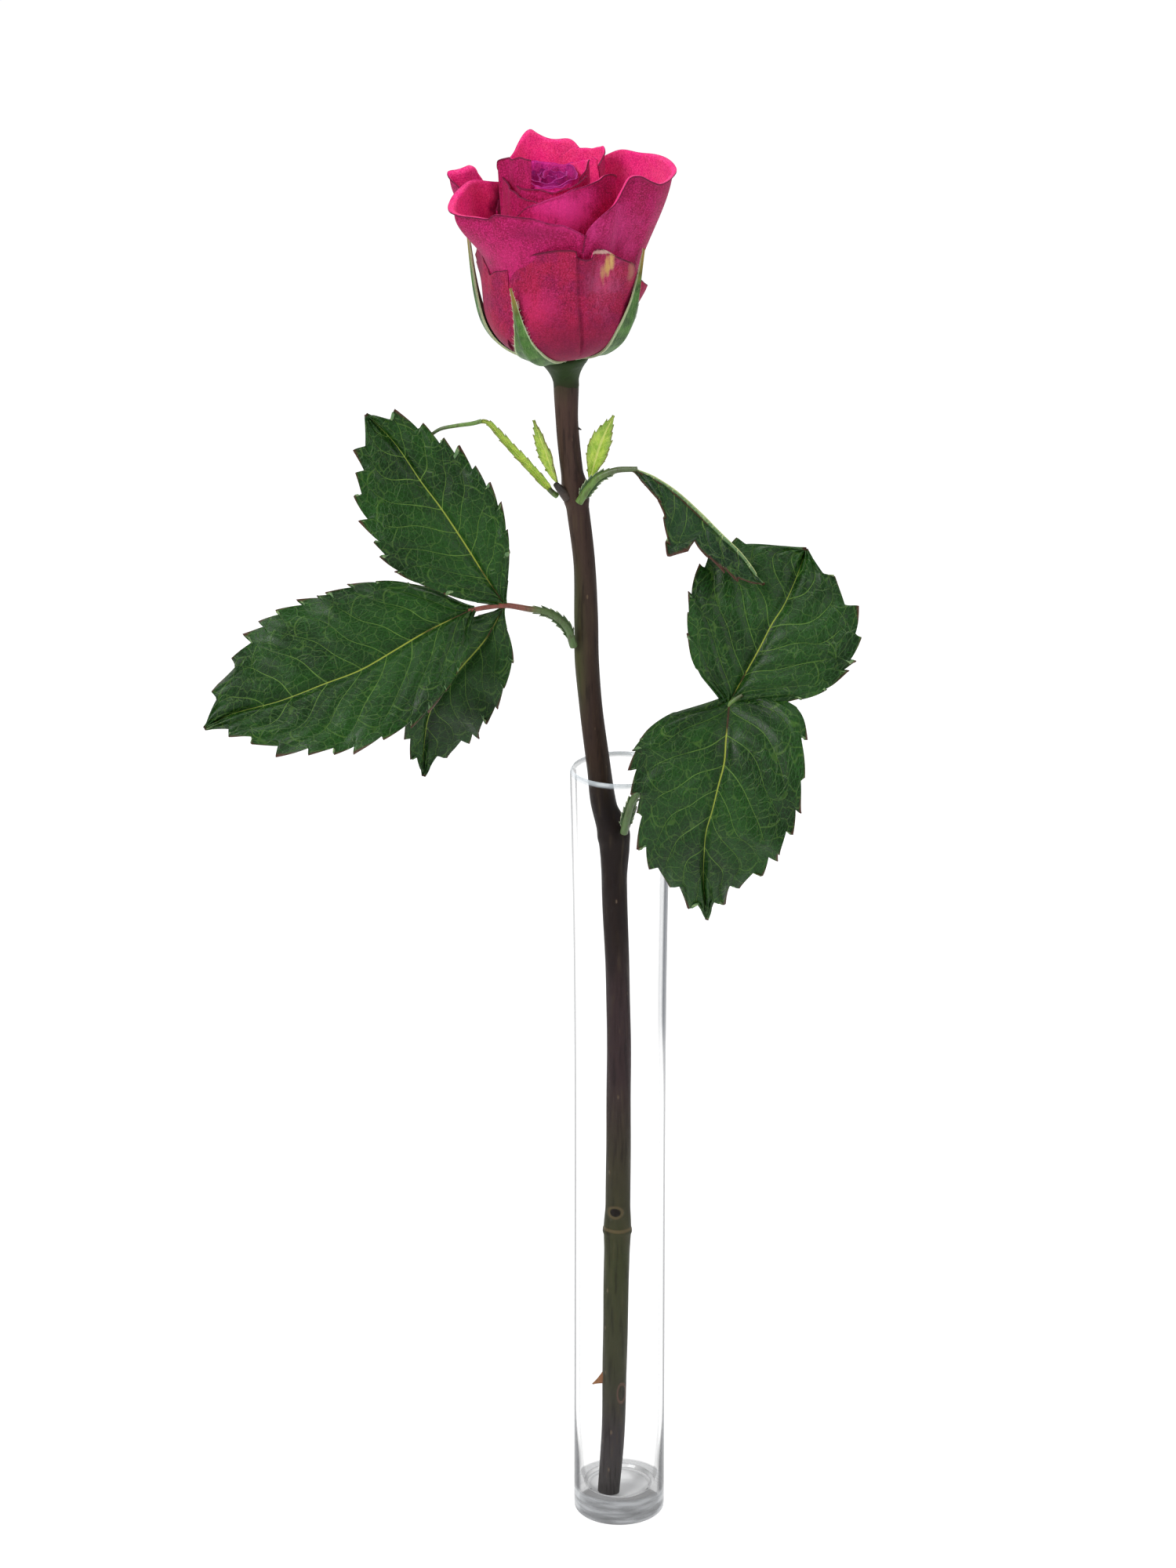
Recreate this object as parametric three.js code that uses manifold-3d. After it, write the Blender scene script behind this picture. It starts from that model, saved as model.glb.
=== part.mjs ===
// A cut rose standing in a slim glass bud vase. Millimetres, +Z up.
// The origin is the centre of the vase's foot; the stem leans back on the mouth, and -Y is the front.
import * as THREE from 'three';
import { mergeVertices } from 'three/addons/utils/BufferGeometryUtils.js';
import Module from 'manifold-3d';

// ---------------------------------------------------------------- driving dimensions
const VASE_HEIGHT = 218;
const VASE_OUTER = 12.5;
const LIP_OUTER = 13.4;
const LIP_INNER = 12.1;
const BORE = 11.1;
const FLOOR = 5;
const VASE_SEGMENTS = 36;

const STEM_SIDES = 10;
const STEM_STEPS = 42;
// centre line and radius of the stem, from the cut end up to the hip: x, y, z, radius
const STEM = [
  [-2.9, -3.4, 6.4, 3.0],
  [-1.9, -2.8, 21, 3.2],
  [-1.1, -1.3, 54, 3.4],
  [-0.8, -0.2, 77, 3.5],
  [-0.7, 0.3, 85, 3.75],
  [-0.5, 0.7, 92, 3.4],
  [-0.3, 2.3, 127, 3.3],
  [-0.6, 3.7, 154, 3.2],
  [-1.6, 4.8, 184, 3.4],
  [-2.0, 5.4, 198, 4.2],
  [-4.3, 5.6, 205, 3.4],
  [-5.8, 5.8, 216, 3.15],
  [-7.8, 6.2, 233, 3.05],
  [-9.0, 6.6, 246, 3.2],
  [-9.1, 6.8, 256, 3.15],
  [-9.6, 7.0, 272, 2.85],
  [-11.2, 7.1, 287, 2.95],
  [-11.9, 7.2, 292, 3.5],
  [-12.8, 7.3, 297, 2.9],
  [-14.0, 7.8, 309, 2.9],
  [-14.3, 8.1, 320.1, 3.4],
];

// the flower's own axes: the middle of its seat on the hip, and the way it faces
const FLOWER_SEAT = new THREE.Vector3(-14.8, 7, 328);
const FLOWER_AXIS = new THREE.Vector3(-0.07, -0.14, 0.987).normalize();
const GAP = 0.3;
const HIP_HEIGHT = 7;
const HIP_RADIUS = 6.2;
const PETAL_THICKNESS = 0.7;
const PETAL_COLUMNS = 6;
const HEART_COLUMNS = 4;
const HEART_BELLY = 13;
const PETAL_ROWS = 6;
const PETAL_FOOT = 0.8;
// a petal's root has this share of its rim's spread round the flower, and all of it by this share of its rise
const ROOT_SPREAD = 0.45;
const SPREAD_BY = 0.45;
// the round bowl that the outer petals make, up to its widest height
const CUP_RADIUS = 20;
const CUP_DEPTH = 17;
const CUP_FOOT = 17.3;
const CORE_RADIUS = 7.4;
const CORE_HEIGHT = 44;

const SEPAL_THICKNESS = 0.9;
const SEPAL_STAND_OFF = 1.5;
// where each sepal starts and ends round the flower, in degrees, how high it reaches and how far it leans out
const SEPALS = [
  { root: -115, end: -121, tip: 27, lean: 0 },
  { root: -32, end: -25, tip: 32, lean: 2.8 },
  { root: 26, end: 26, tip: 24, lean: 1.8 },
  { root: 98, end: 98, tip: 26, lean: 0.6 },
  { root: 188, end: 170, tip: 35, lean: 0.4 },
];

const LEAF_THICKNESS = 0.65;
const FINEST_EDGE = 0.02;
const TOOTH = 1.3;
const LEAF_COLUMNS = 4;
const NARROW_COLUMNS = 2;
// a blade's foot is rounded over this share of its length, and its lobes reach back by this power
const ROUNDED_FOOT = 0.08;
const LOBE_POWER = 5;

// ---------------------------------------------------------------- helpers
const wasm = await Module();
wasm.setup();

const vector = ([x, y, z]) => new THREE.Vector3(x, y, z);
const curveThrough = (points) => new THREE.CatmullRomCurve3(points.map(vector), false, 'centripetal');
const { clamp, smoothstep, degToRad: radians } = THREE.MathUtils;

// value of a list of evenly spaced numbers at t from 0 to 1
function along(list, t) {
  const at = clamp(t, 0, 1) * (list.length - 1);
  const low = Math.min(Math.floor(at), list.length - 2);
  return list[low] + (list[low + 1] - list[low]) * (at - low);
}

// closed geometry, with only positions and shared corners
function bare(geometry) {
  geometry.deleteAttribute('normal');
  geometry.deleteAttribute('uv');
  return mergeVertices(geometry, 1e-4);
}

function toSolid(geometry) {
  const shape = bare(geometry);
  return new wasm.Manifold(new wasm.Mesh({
    numProp: 3,
    vertProperties: new Float32Array(shape.attributes.position.array),
    triVerts: new Uint32Array(shape.index.array),
  }));
}

function toGeometry(solid) {
  const mesh = solid.getMesh();
  const geometry = new THREE.BufferGeometry();
  geometry.setAttribute('position', new THREE.BufferAttribute(mesh.vertProperties, 3));
  geometry.setIndex(new THREE.BufferAttribute(mesh.triVerts, 1));
  geometry.computeVertexNormals();
  return geometry;
}

// joins pieces into one body; a hollow that the join seals is filled, and a loose scrap is dropped
function fuse(geometries) {
  const joined = geometries.map(toSolid).reduce((sum, piece) => sum.add(piece));
  const shells = joined.setTolerance(FINEST_EDGE).decompose().sort((a, b) => b.volume() - a.volume());
  return toGeometry(shells[0]);
}

// a cylinder bent along a curve, with its radius given at each place along it
function rod(path, radius, sides, steps) {
  const geometry = new THREE.CylinderGeometry(1, 1, 1, sides, steps);
  const position = geometry.attributes.position;
  for (let i = 0; i < position.count; i += 1) {
    const t = clamp(position.getY(i) + 0.5, 0, 1);
    const tangent = path.getTangentAt(t);
    const across = new THREE.Vector3(0, 1, 0).addScaledVector(tangent, -tangent.y).normalize();
    const side = across.clone().cross(tangent);
    const size = radius(t);
    const point = path.getPointAt(t)
      .addScaledVector(across, position.getX(i) * size)
      .addScaledVector(side, position.getZ(i) * size);
    position.setXYZ(i, point.x, point.y, point.z);
  }
  return geometry;
}

// a thin closed blade: a grid laid on the surface place(s, t), thickened along its normal
// s runs across from -1 to 1 and t from the root, 0, to the tip, 1; both faces share their diagonals
function blade(columns, rows, thickness, place) {
  const sheet = new THREE.PlaneGeometry(2, 1, columns, rows);
  const grid = sheet.attributes.position;
  const count = grid.count;
  const corners = new Float32Array(count * 6);
  const small = 1e-3;
  for (let i = 0; i < count; i += 1) {
    const s = grid.getX(i);
    const t = grid.getY(i) + 0.5;
    const row = Math.round(t * rows);
    const inner = clamp(s, -1 + small, 1 - small);
    const middle = clamp(t, small, 1 - small);
    const across = place(inner + small, middle, -1).sub(place(inner - small, middle, -1));
    const up = place(inner, middle + small, -1).sub(place(inner, middle - small, -1));
    const normal = across.cross(up).normalize();
    const point = place(s, t, row);
    point.clone().addScaledVector(normal, thickness / 2).toArray(corners, i * 3);
    point.clone().addScaledVector(normal, -thickness / 2).toArray(corners, (count + i) * 3);
  }
  const faces = [];
  const index = sheet.index.array;
  for (let i = 0; i < index.length; i += 3) {
    const [a, b, c] = [index[i], index[i + 1], index[i + 2]];
    faces.push(a, b, c, count + a, count + c, count + b);
  }
  const wide = columns + 1;
  const edge = [];
  for (let i = 0; i < rows; i += 1) edge.push(i * wide);
  for (let i = 0; i < columns; i += 1) edge.push(rows * wide + i);
  for (let i = rows; i > 0; i -= 1) edge.push(i * wide + columns);
  for (let i = columns; i > 0; i -= 1) edge.push(i);
  edge.forEach((a, i) => {
    const b = edge[(i + 1) % edge.length];
    faces.push(b, a, count + a, b, count + a, count + b);
  });
  const geometry = new THREE.BufferGeometry();
  geometry.setAttribute('position', new THREE.BufferAttribute(corners, 3));
  geometry.setIndex(faces);
  return geometry;
}

// ---------------------------------------------------------------- vase
// round foot, thin wall that widens a little to the mouth, thick floor with a rounded corner inside
function vase() {
  const outside = [
    [0, 0], [11.7, 0], [12.3, 0.5], [VASE_OUTER, 1.6],
    [12.4, 60], [12.3, 130], [12.6, 175], [13.1, 203],
    [LIP_OUTER, VASE_HEIGHT - 2.2], [13.2, VASE_HEIGHT - 0.7],
  ];
  const inside = [
    [12.7, VASE_HEIGHT], [12.3, VASE_HEIGHT - 0.5], [LIP_INNER, VASE_HEIGHT - 2],
    [11.8, 203], [11.3, 175], [11, 130], [BORE, 60], [10.9, 18],
    [10.2, 10], [8.8, 6.8], [6.5, 5.3], [0, FLOOR],
  ];
  const profile = outside.concat(inside).map(([r, z]) => new THREE.Vector2(r, z));
  return new THREE.LatheGeometry(profile, VASE_SEGMENTS).rotateX(Math.PI / 2);
}

// ---------------------------------------------------------------- stem
// woody stem with swollen nodes, two dead bud stubs and one thorn that points down
const STUBS = [
  { from: [0.4, 5.2, 198.5], to: [3.8, 5, 205.4], wide: 1.7, narrow: 0.7 },
  { from: [-14, 5.4, 290.6], to: [-17, 3.4, 294.6], wide: 1.5, narrow: 0.7 },
  { from: [-2.2, -1.8, 41.5], to: [-7.4, -2.3, 38.7], wide: 3.2, narrow: 0.25 },
];

function stub({ from, to, wide, narrow }) {
  const path = curveThrough([from, to]);
  return rod(path, (t) => wide + (narrow - wide) * t, 8, 2);
}

function stem() {
  const path = curveThrough(STEM.map(([x, y, z]) => [x, y, z]));
  const heights = STEM.map((station) => station[2]);
  const radius = (t) => {
    const z = path.getPointAt(t).z;
    const next = clamp(heights.findIndex((height) => height > z), 1, STEM.length - 1);
    const share = clamp((z - heights[next - 1]) / (heights[next] - heights[next - 1]), 0, 1);
    return STEM[next - 1][3] + (STEM[next][3] - STEM[next - 1][3]) * share;
  };
  return fuse([rod(path, radius, STEM_SIDES, STEM_STEPS), ...STUBS.map(stub)]);
}

// ---------------------------------------------------------------- flower frame
const FLOWER_RIGHT = new THREE.Vector3(1, 0, 0).addScaledVector(FLOWER_AXIS, -FLOWER_AXIS.x).normalize();
const FLOWER_BACK = FLOWER_AXIS.clone().cross(FLOWER_RIGHT);

// a point at radius r and height h over the flower's seat; 0 degrees is right and -90 is the front
function inFlower(azimuth, r, h) {
  return FLOWER_SEAT.clone()
    .addScaledVector(FLOWER_RIGHT, r * Math.cos(azimuth))
    .addScaledVector(FLOWER_BACK, r * Math.sin(azimuth))
    .addScaledVector(FLOWER_AXIS, h);
}

function turned(profile, segments) {
  const points = profile.map(([r, h]) => new THREE.Vector2(r, h));
  const geometry = new THREE.LatheGeometry(points, segments).rotateX(Math.PI / 2);
  const frame = new THREE.Matrix4().makeBasis(FLOWER_RIGHT, FLOWER_BACK, FLOWER_AXIS);
  return geometry.applyMatrix4(frame.setPosition(FLOWER_SEAT));
}

// width of the flower's round cup at height h, as a share of its widest radius
function cup(h) {
  return Math.sqrt(1 - (Math.max(CUP_DEPTH - h, 0) / CUP_FOOT) ** 2);
}

// ---------------------------------------------------------------- bloom
// Each petal: the radius of its belly, the shares of its height between which it turns out to its rim, and
// its rim, as points x, y, h in the flower's own axes. Each rim goes round the flower anticlockwise, seen
// from above.
const PETALS = {
  guard_left: {
    belly: 19.5, flare: [0.3, 1.2],
    rim: [[-21, 9, 23.5], [-20.5, 4, 28], [-19.5, 0, 31.5], [-18.5, -4, 31], [-17.5, -7, 28], [-17, -9, 27],
      [-14, -13, 28.5], [-12, -14.5, 30]],
  },
  guard_front: {
    belly: 20, flare: [0.5, 1.2],
    rim: [[-13.5, -11, 27.5], [-10.5, -15, 32], [-6.5, -18, 35], [-1.5, -20.5, 36.5], [5.5, -22, 37],
      [7, -21.5, 34.5], [12, -21, 36.5], [15.5, -20, 34], [19.5, -15.5, 30], [20.5, -9, 23]],
  },
  guard_right: {
    belly: 19.8, flare: [0.6, 1.1],
    rim: [[20.5, -9, 23.5], [22.7, -2, 18.5], [20.5, 5, 18], [17, 12, 17], [12.5, 16.5, 16.5]],
  },
  guard_back: {
    belly: 20, flare: [0.6, 1.1],
    rim: [[14.5, 15, 17], [7.5, 19.5, 19], [0.5, 20.5, 20], [-8.5, 18.5, 20], [-15, 14, 21]],
  },
  front_left: {
    belly: 18.6, flare: [0.6, 1],
    rim: [[-11.5, 8, 44.5], [-17, 4, 47.5], [-22, 0, 47.5], [-25, -6, 46], [-25, -10, 44.5], [-22, -13, 44],
      [-15.5, -17, 45], [-9.5, -19, 46], [-4.5, -20, 45.5], [0, -20.5, 43.5], [6.5, -20.5, 41.5], [9, -19, 37.5]],
  },
  right: {
    belly: 19, flare: [0.25, 1.15],
    rim: [[7.5, -20.5, 36], [9, -20.5, 41], [13, -19.5, 44.5], [18.5, -18.5, 49], [21, -17, 53.5],
      [24.5, -15.5, 52], [29, -10.5, 49], [32, -2, 49], [29.5, 4.5, 49.5], [25, 11.5, 49], [18.5, 17, 48],
      [13.5, 19, 46]],
  },
  left_back: {
    belly: 17.8, flare: [0.5, 1],
    rim: [[-13.5, 17, 38], [-18, 13, 43.5], [-20, 9.5, 49.5], [-24, 6.5, 49.5], [-26, 5, 49.5], [-23.5, 1.5, 47],
      [-23, -1, 45.5]],
  },
  back: {
    belly: 17.2, flare: [0.4, 1.1],
    rim: [[12, 14, 47], [7.5, 18, 49.5], [4, 19.5, 51], [0, 20, 51.5], [-3.5, 20, 53], [-5, 19.5, 54],
      [-8, 17.5, 52], [-10.5, 13.5, 49], [-11.5, 10, 48]],
  },
  back_right: {
    belly: 15.8, flare: [0.4, 1.1],
    rim: [[12.5, 6, 48.5], [14, 11, 50], [13, 14, 50], [8.5, 16.5, 49.5], [5, 17.5, 49], [3, 17.5, 48]],
  },
  left_mid: {
    belly: 13.5, flare: [0.3, 1.1],
    rim: [[-10.5, 5, 45], [-13, 2.5, 50], [-13, 0.5, 53], [-10, -2.5, 55], [-7, -5, 56], [-4, -8, 56]],
  },
  front_inner: {
    belly: 16.4, flare: [0.4, 1.1],
    rim: [[-10.5, -13.5, 42.5], [-6, -16, 46.5], [-2, -17, 48.5], [4, -17, 50], [10, -14.5, 51.5], [14, -11, 52],
      [17, -7.5, 50.5]],
  },
  left_inner: {
    belly: 14, flare: [0.4, 1.1],
    rim: [[-12, -1, 50], [-10, -7, 49], [-7.5, -11, 48], [-5.5, -13, 47.5], [-3, -14.5, 47.5], [-0.5, -15, 47]],
  },
  heart_front: {
    belly: 12, flare: [0.4, 1.1],
    rim: [[-9, -3, 48.5], [-8.5, -6, 48.5], [-5.5, -10.5, 49.5], [-1.5, -12.5, 49.5], [4, -12.5, 49.5],
      [8, -9.5, 50.5], [9.5, -7, 51]],
  },
  heart_right: {
    belly: 9, flare: [0.4, 1.1],
    rim: [[7, -7.5, 48.5], [9, -5.5, 51.5], [10.5, -3, 53.5], [9.5, 0, 52.5], [8, 3, 51], [5.5, 5, 50]],
  },
  heart_back: {
    belly: 8.5, flare: [0.4, 1.1],
    rim: [[6, 6, 50], [2.5, 6.5, 49.5], [-1, 4, 49.5], [-2, 0.5, 50], [-3, -4, 49]],
  },
};

// the rolled middle of the flower: small petals on a tightening spiral, each turned on from the one before
const SPIRAL = {
  petals: 4, from: 7, shrink: 1.5, first: -60, turn: 130, spread: 85,
  foot: 30, height: 48.5, droop: 1.5, lap: 0.5, flare: 1.1, taper: 0.15, columns: 5, rows: 3,
};

// one petal: each column rises from the seat along the round cup and ends on the rim
function petal({ belly, flare: [start, end], rim }) {
  const rimCurve = curveThrough(rim);
  const middle = rimCurve.getPointAt(0.5);
  const centre = Math.atan2(middle.y, middle.x);
  const columns = belly < HEART_BELLY ? HEART_COLUMNS : PETAL_COLUMNS;
  const turnedOut = (t) => smoothstep(t, start, end) / smoothstep(1, start, end);
  return blade(columns, PETAL_ROWS, PETAL_THICKNESS, (s, t) => {
    const edge = rimCurve.getPointAt((s + 1) / 2);
    const off = Math.atan2(edge.y, edge.x) - centre;
    const swing = Math.atan2(Math.sin(off), Math.cos(off));
    const spread = ROOT_SPREAD + (1 - ROOT_SPREAD) * Math.min(1, t / SPREAD_BY);
    const h = PETAL_FOOT + (edge.z - PETAL_FOOT) * t;
    const r = belly * cup(h) * (1 - turnedOut(t)) + Math.hypot(edge.x, edge.y) * turnedOut(t);
    return inFlower(centre + swing * spread, r, h);
  });
}

function spiralPetal(order) {
  const { foot, height, droop, lap, flare, taper } = SPIRAL;
  const r = SPIRAL.from - SPIRAL.shrink * order;
  const middle = radians(SPIRAL.first + SPIRAL.turn * order);
  const spread = radians(SPIRAL.spread);
  return blade(SPIRAL.columns, SPIRAL.rows, PETAL_THICKNESS, (s, t) => {
    const h = foot + (height - foot) * t - droop * s * s * t;
    return inFlower(middle + spread * s, (r - lap * s) * (flare - taper * t), h);
  });
}

function bloom() {
  const core = turned([
    [0, GAP], [7.3, GAP], [7.7, 1.3], [CORE_RADIUS, 5], [CORE_RADIUS, 34], [4.5, CORE_HEIGHT - 1],
    [0, CORE_HEIGHT],
  ], 14);
  const spiral = Array.from({ length: SPIRAL.petals }, (_, order) => spiralPetal(order));
  return fuse([core, ...Object.values(PETALS).map(petal), ...spiral]);
}

// ---------------------------------------------------------------- calyx
// a place on the cup's outside at height h, moved off it along its normal
function offCup(h, distance) {
  const slope = CUP_RADIUS * Math.max(CUP_DEPTH - h, 0) / CUP_FOOT ** 2 / cup(h);
  const share = distance / Math.hypot(1, slope);
  return [CUP_RADIUS * cup(h) + share, 0, h - slope * share];
}

// a sepal springs from inside the hip, hugs the cup and stands off at its tip
function sepal({ root, end, tip, lean }) {
  const off = SEPAL_STAND_OFF;
  const path = curveThrough([
    [4.2, 0, -1.4], offCup(1.4, off), offCup(3.4, off), offCup(6.5, off), offCup(11, off),
    offCup(17, off + 0.4 + lean / 3), [CUP_RADIUS + off + 1.3 + lean, 0, tip],
  ]);
  const widths = [3.4, 4.6, 5.2, 5.3, 4.8, 3.7, 2.5, 1.5, 0.8, 0.3];
  return blade(2, 11, SEPAL_THICKNESS, (s, t) => {
    const point = path.getPointAt(t);
    const azimuth = radians(root + (end - root) * t);
    return inFlower(azimuth - s * along(widths, t) / point.x, point.x, point.z);
  });
}

// the hip that the flower sits on, with five sepals
function calyx() {
  const hip = turned([
    [0, -HIP_HEIGHT], [3.5, -HIP_HEIGHT], [3.9, -5], [4.8, -3.4], [HIP_RADIUS, -2], [HIP_RADIUS, -0.4], [5.6, 0],
    [0, 0],
  ], 20);
  return fuse([hip, ...SEPALS.map(sepal)]);
}

// ---------------------------------------------------------------- leaves
// Each leaflet: the line of its midrib, the way its upper face looks, its half widths from root to tip on
// the two sides, the angle that each half is folded up (down when negative), teeth along a side, and how
// far its base lobes reach back past the stalk.
const LEAFLETS = {
  lower_left_top: {
    rib: [[-30.1, -9, 265.9], [-35.5, -8.5, 274], [-40.5, -7.5, 282], [-46.5, -6, 291], [-51.5, -4.5, 297.5],
      [-58.5, -2.5, 307.5], [-65.5, -1, 314.5]],
    face: [-0.15, -0.85, 0.5],
    plus: [0.5, 4.7, 8.9, 11.4, 12.6, 12.8, 11.9, 10.2, 7.7, 3.8, 0.2],
    minus: [1, 6.2, 11.7, 15.9, 18.2, 18.3, 17.2, 15.4, 11.3, 6.5, 0.2],
    fold: [10, 12], teeth: 17, lobe: [1, 1],
  },
  lower_left_end: {
    rib: [[-38.5, -10, 265], [-50, -14, 260.5], [-58, -17, 256.5], [-67, -20, 252], [-76, -22, 249],
      [-87.5, -24, 245], [-101, -25.5, 241.5], [-107, -26, 238]],
    face: [0.1, -0.8, 0.6],
    plus: [1.5, 9.4, 15.9, 19.4, 20.7, 21.2, 21.1, 19.5, 15, 7.5, 0.2],
    minus: [2, 10.5, 15.2, 17.7, 18.8, 19.1, 17.6, 14.7, 10.2, 4.8, 0.2],
    fold: [8, 8], teeth: 20, lobe: [1, 1],
  },
  lower_left_low: {
    rib: [[-30.3, -8.6, 265.2], [-35, -5.5, 255.5], [-42.5, -3, 245.5], [-49.5, -1, 234.5], [-51.5, 1, 224],
      [-52, 2, 215]],
    face: [0.2, -0.85, 0.5],
    plus: [0.5, 5, 9, 11, 11, 9.5, 7.5, 6, 4, 2, 0.2],
    minus: [0.5, 3.4, 8.5, 11.4, 12.5, 12.9, 12.6, 12, 9.5, 3.7, 0.2],
    fold: [12, 12], teeth: 14, lobe: [0, 0],
  },
  lower_right_top: {
    rib: [[27.9, -15, 241.2], [32, -13, 248.5], [36, -11, 255.5], [39, -9, 261], [42, -6.5, 265],
      [45.5, -2, 271.5], [48, 3, 277]],
    face: [0.15, -0.8, 0.55],
    plus: [1, 7.7, 14.4, 19.1, 21.2, 22, 21.6, 18.6, 12.9, 5.5, 0.2],
    minus: [1, 11.5, 16.3, 19.4, 21, 22.2, 22.5, 21.8, 19.2, 14.5, 0.2],
    fold: [10, 6], teeth: 16, lobe: [2, 2],
  },
  lower_right_end: {
    rib: [[27.8, -15.8, 240.7], [27, -22, 234], [26.5, -24.5, 228], [25, -25.5, 222], [23.5, -26, 215.5],
      [22, -25.5, 209.5], [21.5, -24, 201.5], [21.5, -22, 194], [22.5, -18, 182.5]],
    face: [-0.05, -0.93, 0.35],
    plus: [3, 15.7, 22.4, 22.3, 20.9, 18.1, 16, 13.2, 7.5, 2.4, 0.2],
    minus: [8, 18.4, 19.4, 20.5, 20.4, 19.2, 17.6, 14.6, 8, 2.9, 0.2],
    fold: [6, 6], teeth: 17, lobe: [3, 9],
  },
  upper_right: {
    rib: [[2.7, -1, 300.2], [8.5, -2.5, 298.3], [14, -4, 295], [20, -6, 290], [25.5, -8.5, 285], [31, -11, 280],
      [36.5, -14, 273]],
    face: [0.55, -0.1, 0.8],
    plus: [1, 3, 4.5, 5.5, 7, 12.5, 8, 6.6, 5.5, 3.8, 0.2],
    minus: [1, 3, 4, 5, 6, 6.5, 6.5, 6, 5, 3.5, 0.2],
    fold: [-75, -60], teeth: 12, lobe: [0, 0],
  },
  upper_left: {
    rib: [[-17.8, 5.7, 291.8], [-20.6, 5, 295.3], [-24, 4, 299.4], [-28, 3.2, 304], [-32, 2.6, 308.8],
      [-34.5, 2.3, 311.4], [-37, 2.2, 311.8]],
    face: [0.3, -0.9, 0.3],
    plus: [0.9, 1, 1.1, 1.2, 1.3, 1.4, 1.3, 1.2, 1, 0.9, 0.5],
    minus: [1, 1.6, 1.7, 1.5, 1.5, 1.4, 1.3, 1.2, 1, 0.9, 0.5],
    fold: [20, 20], teeth: 8, lobe: [0, 0], tooth: 0.4,
  },
  small_left: {
    rib: [[-16.6, 6.2, 294], [-17.8, 5.6, 297], [-19, 5.2, 301], [-20.8, 5, 306], [-22.6, 5, 311.2]],
    face: [-0.7, -0.6, 0.3],
    plus: [0.5, 1.2, 1.5, 1.6, 1.6, 1.5, 1.3, 1, 0.2],
    minus: [0.5, 1.2, 1.5, 1.6, 1.6, 1.5, 1.3, 1, 0.2],
    fold: [25, 25], teeth: 6, lobe: [0, 0], tooth: 0.35,
  },
  small_right: {
    rib: [[-8.1, 6, 293.4], [-7.4, 5.2, 298], [-5.2, 4.6, 305.5], [-2.1, 4.2, 312.7]],
    face: [-0.3, -0.8, 0.4],
    plus: [0.5, 1.4, 2, 2.2, 2.2, 2, 1.5, 0.9, 0.2],
    minus: [0.5, 1.3, 1.9, 2.1, 2.1, 1.9, 1.5, 0.9, 0.2],
    fold: [20, 20], teeth: 6, lobe: [0, 0], tooth: 0.35,
  },
};

// stalks: centre line, and radius at the stem and at the far end
const STALKS = {
  lower_left: {
    line: [[-12.4, 3.3, 250.6], [-14.2, 0.8, 256.5], [-18.8, -3.5, 261.8], [-24.6, -7, 264.2], [-30.1, -9, 265.7],
      [-34.5, -9.5, 265.4], [-39.5, -10.3, 264.7]],
    thick: 1.1, thin: 0.6,
  },
  lower_right: {
    line: [[0.9, 1.3, 199.2], [1.7, -0.5, 204], [3, -2.5, 209.4], [5.1, -4, 213.1], [8.8, -6.5, 219.1],
      [14.9, -9.5, 227.7], [21.9, -12.5, 235.3], [28, -15.5, 241]],
    thick: 1.1, thin: 0.7,
  },
  upper_right: {
    line: [[-11, 2.2, 290], [-8.5, 1.8, 294], [-6, 1, 297], [-1.5, 0, 299.3], [4, -1.3, 300]],
    thick: 1.1, thin: 0.7,
  },
  upper_left: { line: [[-16.7, 6.4, 290.6], [-17.4, 6, 291.2], [-18.8, 5.5, 292.7]], thick: 0.7, thin: 0.7 },
  upper_left_thread: {
    line: [[-36, 2.2, 311.8], [-38.2, 2.2, 311.2], [-42.3, 2.2, 310.6], [-46.5, 2.6, 309.6], [-48.8, 3, 308.1],
      [-51.4, 3.5, 306.2]],
    thick: 0.6, thin: 0.45,
  },
};

// narrow green wings along the foot of a stalk, on both sides of it
const WINGS = {
  lower_left: { line: STALKS.lower_left.line.slice(0, 4), face: [0.2, -0.9, 0.3], width: 2 },
  lower_right: { line: STALKS.lower_right.line.slice(0, 4), face: [0.2, -0.9, 0.2], width: 1.8 },
  upper_right: { line: STALKS.upper_right.line.slice(0, 4), face: [0.1, -0.9, 0.3], width: 1.5 },
};

function stalk({ line, thick, thin }) {
  return rod(curveThrough(line), (t) => thick + (thin - thick) * t, 8, line.length * 2 - 2);
}

function leaflet({ rib, face, plus, minus, fold, teeth, lobe, tooth = TOOTH }) {
  const path = curveThrough(rib);
  const look = vector(face).normalize();
  const rows = teeth * 2;
  const columns = tooth < TOOTH ? NARROW_COLUMNS : LEAF_COLUMNS;
  return blade(columns, rows, LEAF_THICKNESS, (s, t, row) => {
    const tangent = path.getTangentAt(t);
    const up = look.clone().addScaledVector(tangent, -look.dot(tangent)).normalize();
    const side = tangent.clone().cross(up);
    const onPlus = s > 0 ? 1 : 0;
    const angle = radians(fold[1 - onPlus]);
    const rounding = Math.sqrt(Math.min(1, 0.1 + t / ROUNDED_FOOT));
    const point = Math.abs(s) === 1 && row % 2 === 1 ? tooth * Math.min(1, 3 * t, 4 * (1 - t)) : 0;
    const width = Math.abs(s) * along(onPlus ? plus : minus, t) * rounding + point;
    const back = Math.abs(s) * lobe[1 - onPlus] * (1 - t) ** LOBE_POWER;
    return path.getPointAt(t)
      .addScaledVector(side, Math.sign(s) * width * Math.cos(angle))
      .addScaledVector(up, width * Math.sin(angle))
      .addScaledVector(tangent, point * 0.8 - back);
  });
}

function wing({ line, face, width }) {
  const half = [0.8, 1, 0.9, 0.8, 0.6, 0.3].map((share) => share * width);
  return leaflet({
    rib: line, face, plus: half, minus: half, fold: [0, 0], teeth: 4, lobe: [0, 0], tooth: 0.2,
  });
}

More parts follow.
